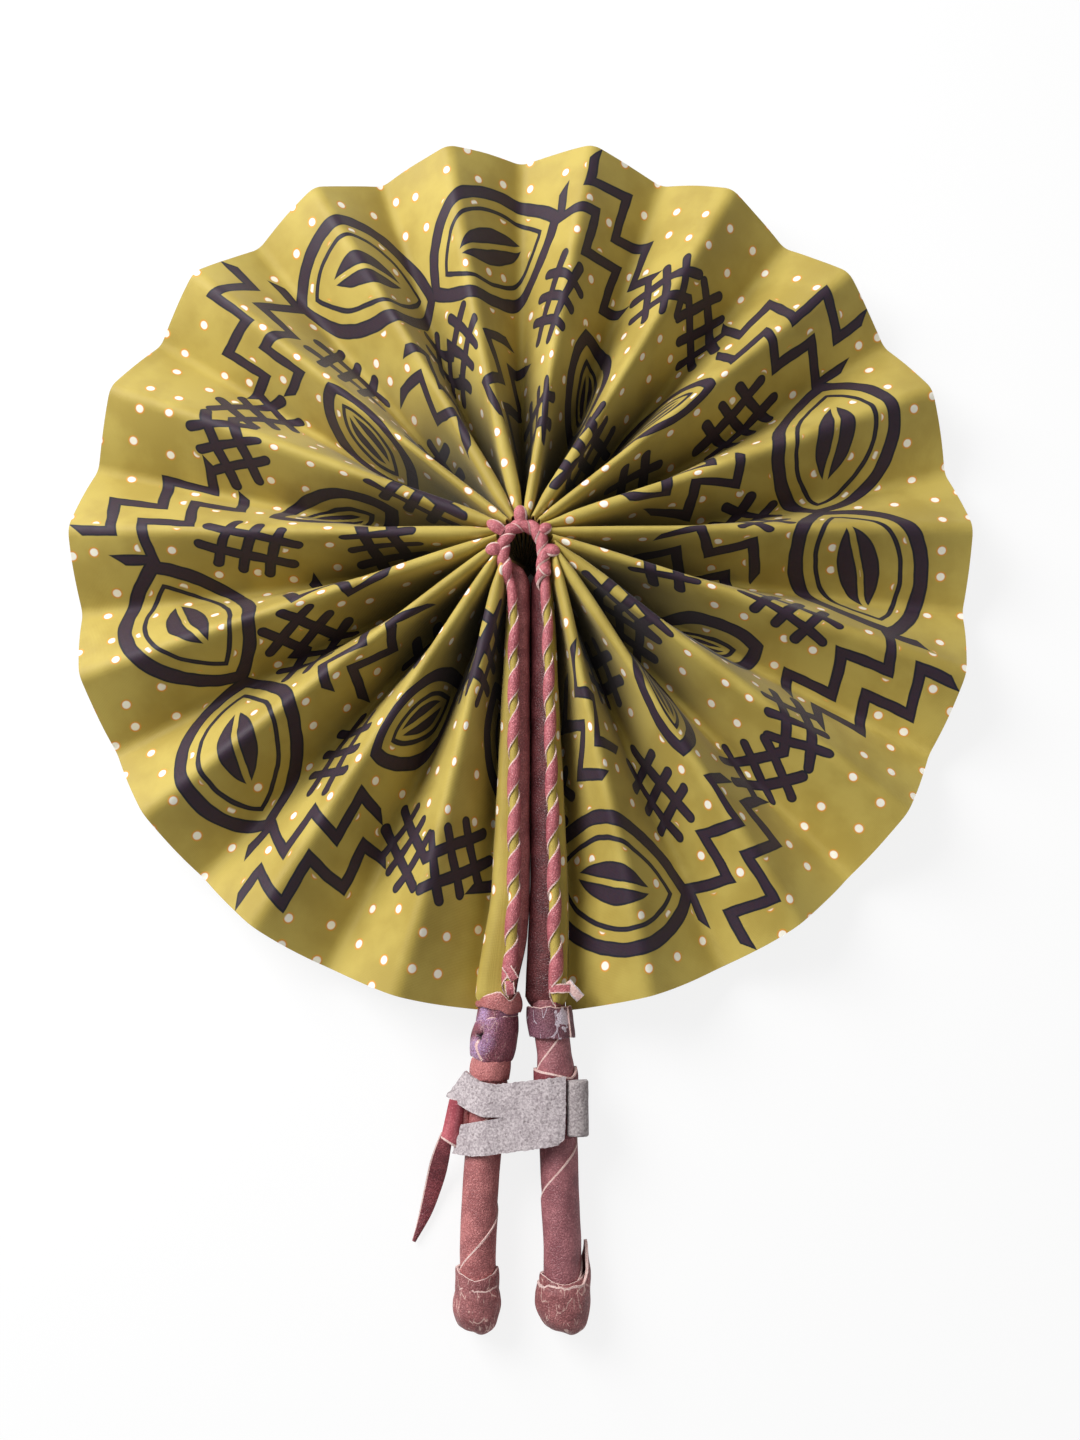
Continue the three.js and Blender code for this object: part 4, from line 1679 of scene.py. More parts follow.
@dataclass
class EyeLacing:
    """The lace wound round the eye of the leaf, down to the tops of the guards."""

    plan: FanPlan
    finishes: Finishes
    leaf: Leaf
    path: Line = (
        (-0.14, -2.4, -15.4, 22.9), (0.0, -3.2, -10.4, 23.7), (0.11, -4.5, -6.4, 24.3),
        (0.23, -5.2, -1.6, 24.6), (0.37, -3.2, 3.7, 24.6), (0.5, 0.8, 5.7, 24.6), (0.63, 4.8, 3.8, 24.6),
        (0.77, 6.8, -1.2, 24.6), (0.89, 6.8, -6.2, 24.3), (1.0, 6.4, -10.6, 23.7), (1.14, 6.5, -15.6, 22.9),
    )
    path_step: float = 0.01
    path_first: float = -0.07
    path_last: float = 1.08
    length: float = 36.5
    turns: int = 9
    turn_width: float = 4.2
    turn_round: float = 1.08
    turn_start: float = 0.3
    turn_hem: float = 0.85
    advance: float = 8.1
    cord: float = 0.95
    cord_crown: float = 0.85
    cord_power: float = 0.55
    cord_wind: float = 0.1
    cord_lap: float = 0.3
    cord_end: float = 0.6
    left_end: Span = (0.06, -0.12)
    right_end: Span = (0.94, 1.12)
    middle: Span = (0.8, -0.4)
    loops: tuple[LaceLoop, ...] = (
        LaceLoop(2, 191.0, 6.6, 4.4, 1.8), LaceLoop(4, 147.0, 6.8, 5.6, 1.65),
        LaceLoop(5, 95.0, 6.6, 5.1, 1.75), LaceLoop(7, 35.0, 6.2, 3.6, 1.55),
        LaceLoop(8, -14.0, 6.8, 4.1, 1.7), LaceLoop(9, -51.0, 8.6, 3.6, 1.2),
    )
    loop_tip: float = 0.45
    loop_waist: float = 0.2
    loop_waist_end: float = 0.4
    loop_powers: Span = (2.2, 0.62)
    loop_height: float = 25.7
    loop_arch: float = 0.9
    loop_lift: float = 0.5
    loop_lift_end: float = 0.5
    loop_droop: float = 0.3
    loop_hem: float = 0.15
    loop_keep: float = 0.2

    def turn(self, number: int) -> None:
        """Builds one turn of the lace.

        Args:
            number: turn, from 1 at the left guard.
        """
        plan = self.plan
        centre = (number - 0.5) / self.turns

        def rule(u: float, v: float) -> Vector:
            """Ribbon once round the gathered cloth, its leading edge over the next turn."""
            phi = TAU * (self.turn_round * v - self.turn_start)
            shift = (u - 0.5) * self.turn_width + self.advance * (v - 0.5)
            along = min(self.path_last, max(self.path_first, centre + shift / self.length))
            x, y, z = trace(self.path, along)
            after = trace(self.path, along + self.path_step)
            before = trace(self.path, along - self.path_step)
            way = Vector((after[0] - before[0], after[1] - before[1])).normalized()
            ends = smooth(*self.right_end, along) + smooth(*self.left_end, along)
            full = self.cord + self.cord_crown * crown(u) ** self.cord_power
            radius = full + self.cord_wind * v + self.cord_lap * u - self.cord_end * ends
            away = radius * math.cos(phi)
            return plan.place(x - way.y * away, y + way.x * away, z + radius * math.sin(phi))

        bench = Bench(f"eye_turn_{number}").grid(columns=14, rows=40).shape(rule)
        bench.dress(self.finishes.lace, self.finishes.cut)
        bench.hem(lambda u, v: u > self.turn_hem).wall(thickness=0.35, rim=1)
        bench.seat(f"pleat_{2 * number - 1:02d}", "lace", f"eye_lace_{number}")

    def loop(self, loop: LaceLoop) -> None:
        """Builds one flat loop of lace that stands out between two folds.

        Args:
            loop: its turn, place and size.
        """
        angle = math.radians(loop.direction)
        pleat = 2 * loop.number - 1

        def rule(u: float, v: float) -> Vector:
            """Round-ended tongue, arched across and drooping at its end."""
            tip = max(0.0, (v - self.loop_tip) / (1.0 - self.loop_tip))
            first, second = self.loop_powers
            waist = 1.0 - self.loop_waist + self.loop_waist * smooth(0.0, self.loop_waist_end, v)
            half = loop.wide * waist * max(0.0, 1.0 - tip ** first) ** second
            across = (2.0 * u - 1.0) * half
            away = loop.start + loop.long * v
            x = self.middle[0] + away * math.cos(angle) - across * math.sin(angle)
            y = self.middle[1] + away * math.sin(angle) + across * math.cos(angle)
            arch = self.loop_arch * crown(u) * half / loop.wide
            lift = self.loop_lift * smooth(0.0, self.loop_lift_end, v) - self.loop_droop * v * v
            return self.plan.place(x, y, self.loop_height + arch + lift)

        bench = Bench(f"eye_loop_{loop.number}").grid(columns=14, rows=22).shape(rule)
        bench.dress(self.finishes.lace, self.finishes.cut)
        bench.hem(lambda u, v: u < self.loop_hem).weld().wall(thickness=0.6, rim=1)
        piece = bench.seat(f"pleat_{pleat:02d}", "lace")
        anchor, axis = self.leaf.closing_plane(pleat)
        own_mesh(piece)
        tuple(axis)
        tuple(anchor)

    def build(self) -> None:
        """Builds the lacing and its loops."""
        for number in range(1, self.turns + 1):
            self.turn(number)
        for loop in self.loops:
            self.loop(loop)


@dataclass
class Cuff:
    """A band of leather rolled round a handle, with torn ends."""

    name: str
    top: float
    low: float
    radius: float
    bulge: float = 0.3
    bulge_power: float = 0.6
    torn_top: float = 0.5
    torn_low: float = 0.4
    low_key: float = 5.0
    scallops: float = 1.5
    nicks: float = 4.0
    nick_share: float = 0.5
    thickness: float = 0.7
    turns: float = 1.03
    lap: float = 0.45
    seam: float = 1.2
    wave: Waver = Waver(0.28, 2.2, 0.22)
    # A dented pit, dark inside with painted shade; pit_span turns its depth into that shade.
    pit: Span | None = None
    pit_depth: float = 1.5
    pit_size: float = 1.35
    pit_star: Point = (0.3, 3.0, 0.6)
    pit_span: Span = (0.25, 0.7)
    scar: Line = ()
    scar_span: Span = (0.5, 0.15)
    peel: Span | None = None
    peel_narrow: float = 1.5
    peel_size: float = 3.4
    peel_middle: float = 0.75
    peel_waver: Waver = Waver(0.7, 5.0, 0.9, 2.0)
    peel_span: Span = (0.25, -0.1)
    bared: float = 2.4
    scuff: float = 0.4
    scuff_ends: float = 0.7
    scuff_patches: float = 0.5
    end_span: Span = (0.14, 0.0)
    patch: Waver = Waver(1.0, 2.0, 0.3)
    patch_span: Span = (0.1, 0.55)
    # Violet tint with painted sheen: strongest on the side that faces the light, with random patches.
    tint: float = 0.0
    tint_least: float = 0.14
    tint_at: float = 2.45
    tint_power: float = 2.2
    tint_cloud: Waver = Waver(1.0, 1.0, 0.16)
    tint_span: Span = (-0.4, 0.3)
    pale_top: float = 0.036
    pale_seam: float = 0.994
    top_line: Line = ()
    low_line: Line = ()
    columns: int = 112
    rows: int = 32

    def edge(self, line: Line, phi: float) -> float:
        """How far an end is drawn down at an angle round the handle."""
        return trace(line, (phi + QUARTER) % TAU - QUARTER)[0] if line else 0.0

    def tear(self, phi: float, key: float) -> float:
        """Ragged line of a torn end, about -1 to 1."""
        nicks = Waver(self.nick_share, self.nicks * self.scallops).ring(phi, shift=key)
        return Waver(1.0, self.scallops).ring(phi, shift=key) + nicks

    def build(self, handle: Handle, slot: str, finish: bpy.types.Material, *nodes: str) -> None:
        """Rolls the band.

        Args:
            handle: handle that it goes round.
            slot: material slot.
            finish: leather of its face.
            nodes: CAD nodes that it stands for.
        """
        key = float(len(self.name))

        def at(u: float, v: float) -> Span:
            """Angle round the handle and distance below the eye."""
            phi = self.seam + TAU * self.turns * u
            top = self.top + self.edge(self.top_line, phi) + self.torn_top * self.tear(phi, key)
            low = self.low + self.edge(self.low_line, phi)
            low += self.torn_low * self.tear(phi, key + self.low_key)
            return phi, top + v * (low - top)

        def hollow(phi: float, s: float) -> float:
            """Depth of the pit, 1 at its middle; it also masks the pit's painted shade."""
            if self.pit is None:
                return 0.0
            across = (phi - self.pit[0]) * self.radius
            down = s - self.pit[1]
            share, points, turn = self.pit_star
            star = 1.0 + share * math.cos(points * math.atan2(down, across) + turn)
            return math.exp(-(math.hypot(across, down) / (self.pit_size * star)) ** 2)

        def rule(u: float, v: float) -> Vector:
            """Rolled sheet, bulging a little."""
            phi, s = at(u, v)
            bulge = self.bulge * math.sin(math.pi * v) ** self.bulge_power
            radius = self.radius + bulge + self.lap * u + self.wave.ring(phi, s, key)
            return handle.around(phi, s, radius - self.pit_depth * hollow(phi, s))

        def marks(u: float, v: float) -> Point:
            """Scuffs at the ends and in patches, the painted shade inside the pit, and the tint, partly
            painted sheen on the side toward the light.
            """
            phi, s = at(u, v)
            ends = smooth(*self.end_span, min(v, 1.0 - v))
            patch = smooth(*self.patch_span, self.patch.ring(phi, s, key))
            # Painted sheen: the tint grows toward the side that faces the light.
            toward = max(0.0, math.cos(phi - self.tint_at)) ** self.tint_power
            lit = self.tint_least + (1.0 - self.tint_least) * toward
            tint = self.tint * lit * smooth(*self.tint_span, self.tint_cloud.ring(phi, s, -key))
            scuff = self.scuff * (self.scuff_ends * ends + self.scuff_patches * patch)
            if self.scar and self.scar[0][0] < s < self.scar[-1][0]:
                away = abs(phi - trace(self.scar, s)[0]) * self.radius
                scuff += self.bared * smooth(*self.scar_span, away)
            if self.peel is not None:
                across = (phi - self.peel[0]) * self.radius * self.peel_narrow
                far = math.hypot(across, s - self.peel[1]) / self.peel_size - self.peel_middle
                scuff += self.bared * smooth(*self.peel_span, far + self.peel_waver.at(phi, s))
            return scuff, smooth(*self.pit_span, hollow(phi, s)), tint

        bench = Bench(self.name).grid(self.columns, self.rows).shape(rule).marks(marks)
        bench.dress(finish, handle.finishes.cut)
        bench.hem(lambda u, v: v < self.pale_top or u > self.pale_seam).wall(self.thickness, rim=1)
        bench.seat(handle.side.body, slot, *nodes)


@dataclass
class Handle:
    """One leather-wrapped handle with its collars and end cap."""

    plan: FanPlan
    finishes: Finishes
    side: Side
    leather: bpy.types.Material
    wrap_radius: float
    seam_at: float
    slim: float
    slim_to: float
    cap_radius: float
    mouth: float
    flap: float
    taper: float
    strip_rise: float
    strip_line: Line
    table: float = 0.5
    wrap_past: Span = (1.5, 3.0)
    wrap_turns: float = 1.06
    wrap_lap: float = 0.45
    wrap_grain: Waver = Waver(0.12, 2.5, 0.2)
    wrap_hem: float = 0.984
    seam_pitch: float = 34.0
    slim_ease: float = 4.0
    edge_scuff: float = 0.5
    seam_span: Span = (0.95, 1.0)
    wrap_scuff: float = 0.1
    cap_key: float = 3.0
    mouth_tear: Waver = Waver(0.8, 1.6)
    mouth_nicks: Waver = Waver(0.35, 6.0)
    flap_at: float = -0.2
    flap_width: float = 0.45
    cap_short: float = 0.4
    cap_skew: float = 1.1
    cap_skew_at: float = 2.6
    cap_round: float = 6.4
    cap_neck: float = 0.08
    neck_end: float = 0.25
    taper_span: Span = (0.45, 0.9)
    cap_least: float = 0.0005
    cap_power: float = 0.44
    cap_wave: Waver = Waver(0.07, 2.2, 0.16)
    ridge: float = 0.14
    ridge_turn: Span = (0.8, 2.0)
    pucker: float = 0.4
    pucker_power: int = 4
    puckers: float = 5.0
    mouth_span: Span = (0.08, 0.0)
    butt_span: Span = (0.84, 1.0)
    cap_scuff: float = 0.15
    cap_hem: float = 0.035
    strip_low: float = 2.0
    strip_gap: float = 0.75

    def around(self, phi: float, s: float, radius: float) -> Vector:
        """Point round the handle's axis, kept above the table.

        Args:
            phi: angle round it.
            s: distance below the eye.
            radius: distance from it.

        Returns:
            The point, in metres.
        """
        plan = self.plan
        x = plan.handle_x(self.side, s) + radius * math.cos(phi)
        z = plan.axis_z(s) + radius * math.sin(phi)
        return plan.place(x, -s, max(self.table, z))

    def wrap(self) -> None:
        """Winds a leather strip in a long spiral, one edge over the other."""
        above, below = self.wrap_past
        top = self.plan.bend - above
        length = self.plan.butt - below - top

        def rule(u: float, v: float) -> Vector:
            """Rolled sheet whose seam winds round the handle."""
            s = top + v * length
            phi = QUARTER + TAU * ((s - self.seam_at) / self.seam_pitch + self.wrap_turns * u)
            grain = self.wrap_grain.ring(phi, s, self.side.value)
            slim = self.slim * (1.0 - smooth(self.slim_to - self.slim_ease, self.slim_to, s))
            return self.around(phi, s, self.wrap_radius - slim + self.wrap_lap * u + grain)

        def marks(u: float, v: float) -> Point:
            """Scuffs beside the seam."""
            return self.edge_scuff * smooth(*self.seam_span, u) + self.wrap_scuff, 0.0, 0.0

        bench = Bench(f"{self.side.word}_wrap").grid(columns=56, rows=110).shape(rule).marks(marks)
        bench.dress(self.leather, self.finishes.cut)
        bench.hem(lambda u, v: u > self.wrap_hem).wall(thickness=0.5, rim=1)
        bench.seat(self.side.body, "red_leather", f"{self.side.word}_handle_wrap")

    def cap(self) -> None:
        """Draws a leather cup over the end, its mouth torn."""
        key = self.cap_key * self.side.value

        def mouth(phi: float) -> float:
            """Height of the torn mouth."""
            torn = self.mouth_tear.ring(phi, shift=key) + self.mouth_nicks.ring(phi, shift=key)
            return self.mouth + torn - self.flap * math.exp(-((phi - self.flap_at) / self.flap_width) ** 2)

        def rule(u: float, v: float) -> Vector:
            """Cup that bulges and closes round at the butt."""
            phi = TAU * u - QUARTER
            lip = mouth(phi)
            butt = self.plan.butt - self.cap_short
            butt -= self.cap_skew * max(0.0, math.cos(phi - self.cap_skew_at))
            close = max(0.0, 2.0 * v - 1.0) * QUARTER
            if close > 0.0:
                s = butt - self.cap_round + self.cap_round * math.sin(close)
            else:
                s = lip + 2.0 * v * (butt - self.cap_round - lip)
            flare = 1.0 - self.cap_neck + self.cap_neck * smooth(0.0, self.neck_end, v)
            flare -= self.taper * smooth(*self.taper_span, v)
            radius = self.cap_radius * flare * max(self.cap_least, math.cos(close)) ** self.cap_power
            down, turn = self.ridge_turn
            ridge = self.ridge * math.sin(s * down + phi * turn) * math.cos(close)
            drawn = self.pucker * math.sin(close) ** self.pucker_power * math.cos(close)
            pucker = drawn * math.sin(phi * self.puckers + key)
            return self.around(phi, s + pucker, radius * (1.0 + self.cap_wave.ring(phi, s, key)) + ridge)

        def marks(u: float, v: float) -> Point:
            """Scuffs at the mouth and the puckered butt."""
            ends = smooth(*self.mouth_span, v) + smooth(*self.butt_span, v)
            return self.edge_scuff * ends + self.cap_scuff, 0.0, 0.0

        bench = Bench(f"{self.side.word}_cup").grid(columns=72, rows=48).shape(rule).marks(marks)
        bench.dress(self.finishes.cap, self.finishes.cut).hem(lambda u, v: v < self.cap_hem)
        bench.weld().wall(thickness=0.8, rim=1)
        bench.seat(self.side.body, "red_leather", f"{self.side.word}_end_cap")

    def left_collars(self) -> None:
        """Rolls the left handle's torn flap and its three bands."""
        made = self.finishes
        flap = Cuff(
            "left_collar_flap", 131.5, 134.2, 5.9, torn_top=0.35, torn_low=0.3, scallops=1.9, seam=-1.4,
            scuff=0.3, pale_top=0.07,
            top_line=(
                (-0.6, 1.0), (0.2, -0.6), (0.6, -2.4), (1.05, 0.4), (1.57, -2.2), (2.1, -1.5), (2.9, 0.4),
            ),
            low_line=((-0.6, 0.6), (0.5, 0.6), (1.1, 1.0), (1.57, -0.2), (2.6, -1.1)),
        )
        flap.build(self, "red_leather", made.salmon)
        under = Cuff("left_collar_under", 131.9, 138.5, 5.3, bulge=0.1, seam=-1.0, tint=1.6, scuff=0.2)
        under.build(self, "purple_leather", made.purple)
        wide = Cuff(
            "left_collar_wrap", 136.4, 148.2, 5.3, bulge=0.9, pit=(2.3, 141.4), seam=-1.6, tint=1.1,
            torn_top=0.2, torn_low=0.3, scallops=1.2, pale_top=0.024, columns=150, rows=48,
            top_line=((0.3, -0.6), (1.57, -0.2), (2.2, 0.4), (2.9, 1.2)),
            low_line=((0.3, 0.0), (1.57, 0.2), (2.9, -1.2)),
            scar=((142.4, 2.3), (144.0, 2.36), (146.0, 2.22), (148.0, 2.0)),
        )
        wide.build(self, "purple_leather", made.purple, "left_collar")
        band = Cuff("left_collar_strip", 147.6, 153.4, 5.1, torn_low=0.3, seam=-1.0, scuff=0.2)
        band.build(self, "red_leather", made.salmon, "left_collar_band")

    def right_collar(self) -> None:
        """Rolls the right handle's one wide band."""
        wide = Cuff(
            "right_collar_wrap", 133.4, 141.8, 5.8, torn_top=0.5, torn_low=0.5, seam=0.45, scuff=0.6,
            tint=0.15, peel=(0.95, 136.4), columns=150, rows=40,
        )
        wide.build(self, "red_leather", self.finishes.band, "right_collar")

    def cap_strip(self) -> None:
        """Rolls the thin strip under the cap's mouth."""
        strip = Cuff(
            f"{self.side.word}_cap_strip", self.mouth - self.strip_rise, self.mouth + self.strip_low,
            self.wrap_radius + self.strip_gap, torn_top=0.4, seam=-1.6, scuff=0.3, thickness=0.6,
            top_line=self.strip_line,
        )
        strip.build(self, "red_leather", self.finishes.cap)

    def build(self) -> None:
        """Builds the handle."""
        self.wrap()
        self.cap()
        if self.side is Side.LEFT:
            self.left_collars()
        else:
            self.right_collar()
        self.cap_strip()


@dataclass
class Strap:
    """The suede strap across both handles, its loop and its rolled end."""

    plan: FanPlan
    finishes: Finishes
    right: Handle
    thickness: float = 1.2
    bend_from: float = 12.6
    bend_to: float = 9.4
    bend_below: float = 162.0
    bend_height: float = 15.6
    upper_rag: Waver = Waver(0.3, 24.0, 8.0)
    lower_rag: Waver = Waver(0.3, 24.0, 3.0)
    upper_fray: Waver = Waver(0.5, 5.0, 6.0)
    lower_fray: Waver = Waver(0.5, 5.0, 2.0)
    fray_span: Span = (0.94, 1.0)
    swell: Waver = Waver(0.25, 0.25, 0.16, 2.0)
    nap: Waver = Waver(0.14, 1.3, 1.1, 5.0)
    roll_at: Span = (16.3, 13.4)
    roll_top: float = 153.0
    roll_length: int = 16
    roll_radius: float = 3.1
    roll_flat: float = 0.88
    roll_rough: float = 0.22
    roll_edge: float = 0.7
    roll_corner: float = 55.0
    upper_top: Line = (
        (0.0, 12.9, 152.4), (0.25, 5.0, 153.2), (0.5, -2.9, 154.1), (0.7, -7.6, 154.4), (0.85, -12.0, 153.3),
        (1.0, -15.1, 151.0),
    )
    upper_low: Line = (
        (0.0, 12.9, 161.6), (0.25, 5.0, 162.4), (0.5, -2.9, 163.3), (0.55, -4.4, 163.4),
        (0.62, -6.6, 163.3), (0.72, -10.0, 163.2), (0.85, -14.6, 161.5), (1.0, -20.5, 158.1),
    )
    lower_top: Line = (
        (0.0, 12.9, 161.6), (0.25, 5.0, 162.4), (0.5, -2.9, 163.3), (0.55, -4.4, 163.4),
        (0.62, -6.6, 163.8), (0.72, -9.4, 164.3), (0.85, -12.8, 164.9), (1.0, -16.0, 165.6),
    )
    lower_low: Line = (
        (0.0, 12.4, 169.2), (0.1, 10.4, 170.7), (0.25, 5.5, 171.6), (0.5, -1.0, 172.4), (0.7, -8.0, 173.4),
        (0.85, -12.6, 173.9), (1.0, -18.6, 173.6),
    )
    heights: Line = (
        (-21.0, 8.9), (-17.0, 10.6), (-14.0, 12.4), (-11.0, 14.0), (-8.0, 14.9), (-4.0, 15.1), (3.0, 15.5),
        (9.0, 15.8), (13.2, 15.2),
    )

    def half(self, name: str, lower: bool) -> Bench:
        """Builds the upper or the lower half of the band.

        Args:
            name: name of the half.
            lower: whether it is the half away from the leaf.

        Returns:
            The bench with the flat sheet in place.
        """
        first, last = (self.lower_top, self.lower_low) if lower else (self.upper_top, self.upper_low)
        rag, fray = (self.lower_rag, self.lower_fray) if lower else (self.upper_rag, self.upper_fray)

        def rule(u: float, v: float) -> Vector:
            """Sheet between two edges, with a slit at the toggle's end."""
            x0, s0 = trace(first, u)
            x1, s1 = trace(last, u)
            x = x0 + (x1 - x0) * v + fray.line(v) * smooth(*self.fray_span, u)
            s = s0 + (s1 - s0) * v + rag.line(u) * (v if lower else 1.0 - v)
            bumps = self.swell.at(x, s) + self.nap.at(x, s)
            return self.plan.place(x, -s, trace(self.heights, x)[0] + bumps)

        return Bench(name).grid(columns=84, rows=22).shape(rule)

    def band(self) -> None:
        """Joins the halves up to the slit and gives the band its thickness."""
        lower = self.half("strap_lower", True)
        bench = self.half("strap_suede", False)
        bench.hold()
        lower.obj.select_set(True)
        bpy.ops.object.join()
        bench.weld().dress(self.finishes.suede).wall(self.thickness)
        piece = bench.seat(None, "suede", "strap_band")
        start = tuple(self.plan.place(self.bend_from, -self.bend_below, self.bend_height))
        end = tuple(self.plan.place(self.bend_to, -self.bend_below, self.bend_height))
        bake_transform(piece)

    def loop(self) -> None:
        """Rolls dark leather round the right handle, under the band."""
        loop = Cuff(
            "strap_sleeve", 150.4, 169.2, 5.6, bulge=0.2, torn_top=0.15, torn_low=0.3, seam=-2.0, scuff=0.1,
            pale_top=0.02, top_line=((0.1, -0.4), (0.75, 2.2), (1.57, 1.4), (2.9, 0.0)),
        )
        loop.build(self.right, "red_leather", self.finishes.deep, "strap_loop")

    def roll(self) -> None:
        """Makes the rolled end of the suede beside the right handle."""
        x, z = self.roll_at
        path = [self.plan.place(x, -self.roll_top - step, z) for step in range(self.roll_length + 1)]
        flat = (1.0, 1.0, self.roll_flat)
        bench = Bench("strap_end").rod(path, self.roll_radius, sides=40)
        bench.edit(
            lambda: bpy.ops.transform.resize(value=flat, center_override=path[0]),
            lambda: bpy.ops.transform.vertex_random(offset=self.roll_rough * MM, seed=5),
            lambda: bpy.ops.mesh.vertices_smooth(factor=0.5, repeat=3, wait_for_input=False),
        )
        bench.modifier(
            "BEVEL", width=self.roll_edge * MM, segments=4, limit_method="ANGLE",
            angle_limit=math.radians(self.roll_corner),
        )
        # The roll takes the darker suede, painted shade.
        bench.dress(self.finishes.suede_back)
        bench.seat("right_guard", "suede", "strap_roll")

    def build(self) -> None:
        """Builds the strap."""
        self.loop()
        self.roll()
        self.band()


@dataclass
class Toggle:
    """The rolled leather toggle on the left handle and its tail."""

    plan: FanPlan
    finishes: Finishes
    x: float = -18.6
    s: float = 165.0
    z: float = 8.4
    tilt: float = 0.152
    length: float = 11.8
    slant: float = 0.45
    turns: float = 2.3
    phase: float = 0.6
    core: float = 0.5
    growth: float = 2.5
    growth_power: float = 0.8
    upper_size: float = 0.82
    lower_gain: float = 0.26
    roll_hem: float = 0.95
    neck_gap: float = 4.6
    neck_inside: float = 0.6
    neck_above: float = 0.6
    neck_below: float = 0.4
    neck_size: Span = (8.2, 2.7)
    neck_round: float = 1.2
    tail_arch: float = 0.3
    tail_hem: float = 0.09
    tail_left: Line = (
        (0.0, -22.0, 168.0), (0.1, -23.5, 171.4), (0.3, -25.5, 177.0), (0.5, -27.2, 184.5),
        (0.75, -28.7, 192.0), (1.0, -30.1, 198.4),
    )
    tail_right: Line = (
        (0.0, -19.0, 170.4), (0.3, -20.5, 178.2), (0.5, -22.6, 184.8), (0.75, -25.4, 191.6),
        (1.0, -29.8, 198.6),
    )
    tail_height: Line = ((0.0, 8.3), (0.2, 6.4), (0.4, 2.6), (0.6, 1.1), (1.0, 0.75))

    def along(self, far: float, across: float, height: float) -> Vector:
        """Point of the toggle.

        Args:
            far: distance down it.
            across: distance across it.
            height: height above the table.

        Returns:
            The point, in metres.
        """
        x = self.x - math.sin(self.tilt) * far + math.cos(self.tilt) * across
        y = -self.s - math.cos(self.tilt) * far - math.sin(self.tilt) * across
        return self.plan.place(x, y, height)

    def roll(self) -> None:
        """Rolls a strip of leather up tight."""
        def rule(u: float, v: float) -> Vector:
            """Spiral, fuller at its lower end."""
            phi = TAU * self.turns * u + self.phase
            full = self.upper_size + self.lower_gain * v
            radius = (self.core + self.growth * u ** self.growth_power) * full
            across = radius * math.cos(phi)
            far = (v - 0.5) * self.length + self.slant * across * v
            return self.along(far, across, self.z + radius * math.sin(phi))

        bench = Bench("toggle_spiral").grid(columns=96, rows=20).shape(rule)
        bench.dress(self.finishes.gloss, self.finishes.cut)
        bench.hem(lambda u, v: v > self.roll_hem).wall(thickness=0.5, rim=1)
        bench.seat("toggle", "red_leather", "toggle_roll")

    def neck(self) -> None:
        """Folds leather from the handle to the roll."""
        start = self.plan.handle_x(Side.LEFT, self.s) - self.neck_gap
        end = self.x + self.neck_inside
        middle = self.plan.place((start + end) / 2.0, self.neck_above - self.s, self.z - self.neck_below)
        bench = Bench("toggle_fold").block(middle, (start - end, *self.neck_size), self.neck_round)
        bench.dress(self.finishes.salmon)
        bench.seat("toggle", "red_leather", "toggle_neck")

    def tail(self) -> None:
        """Lets a pointed strip fall from the roll onto the table."""
        def rule(u: float, v: float) -> Vector:
            """Strip between its two edges."""
            x0, s0 = trace(self.tail_left, v)
            x1, s1 = trace(self.tail_right, v)
            height = trace(self.tail_height, v)[0] + self.tail_arch * crown(u)
            return self.plan.place(x0 + (x1 - x0) * u, -(s0 + (s1 - s0) * u), height)

        bench = Bench("toggle_strip").grid(columns=12, rows=48).shape(rule)
        bench.dress(self.finishes.deep, self.finishes.cut)
        bench.hem(lambda u, v: u < self.tail_hem).wall(thickness=0.8, rim=1)
        bench.seat("toggle_tail", "red_leather", "toggle_tail")

    def build(self) -> None:
        """Builds the toggle."""
        self.roll()
        self.neck()
        self.tail()


@dataclass(frozen=True)
class Lamp:
    """A square soft lamp; its place and size are in metres and its power in watts."""

    name: str
    place: Point
    size: float
    power: float


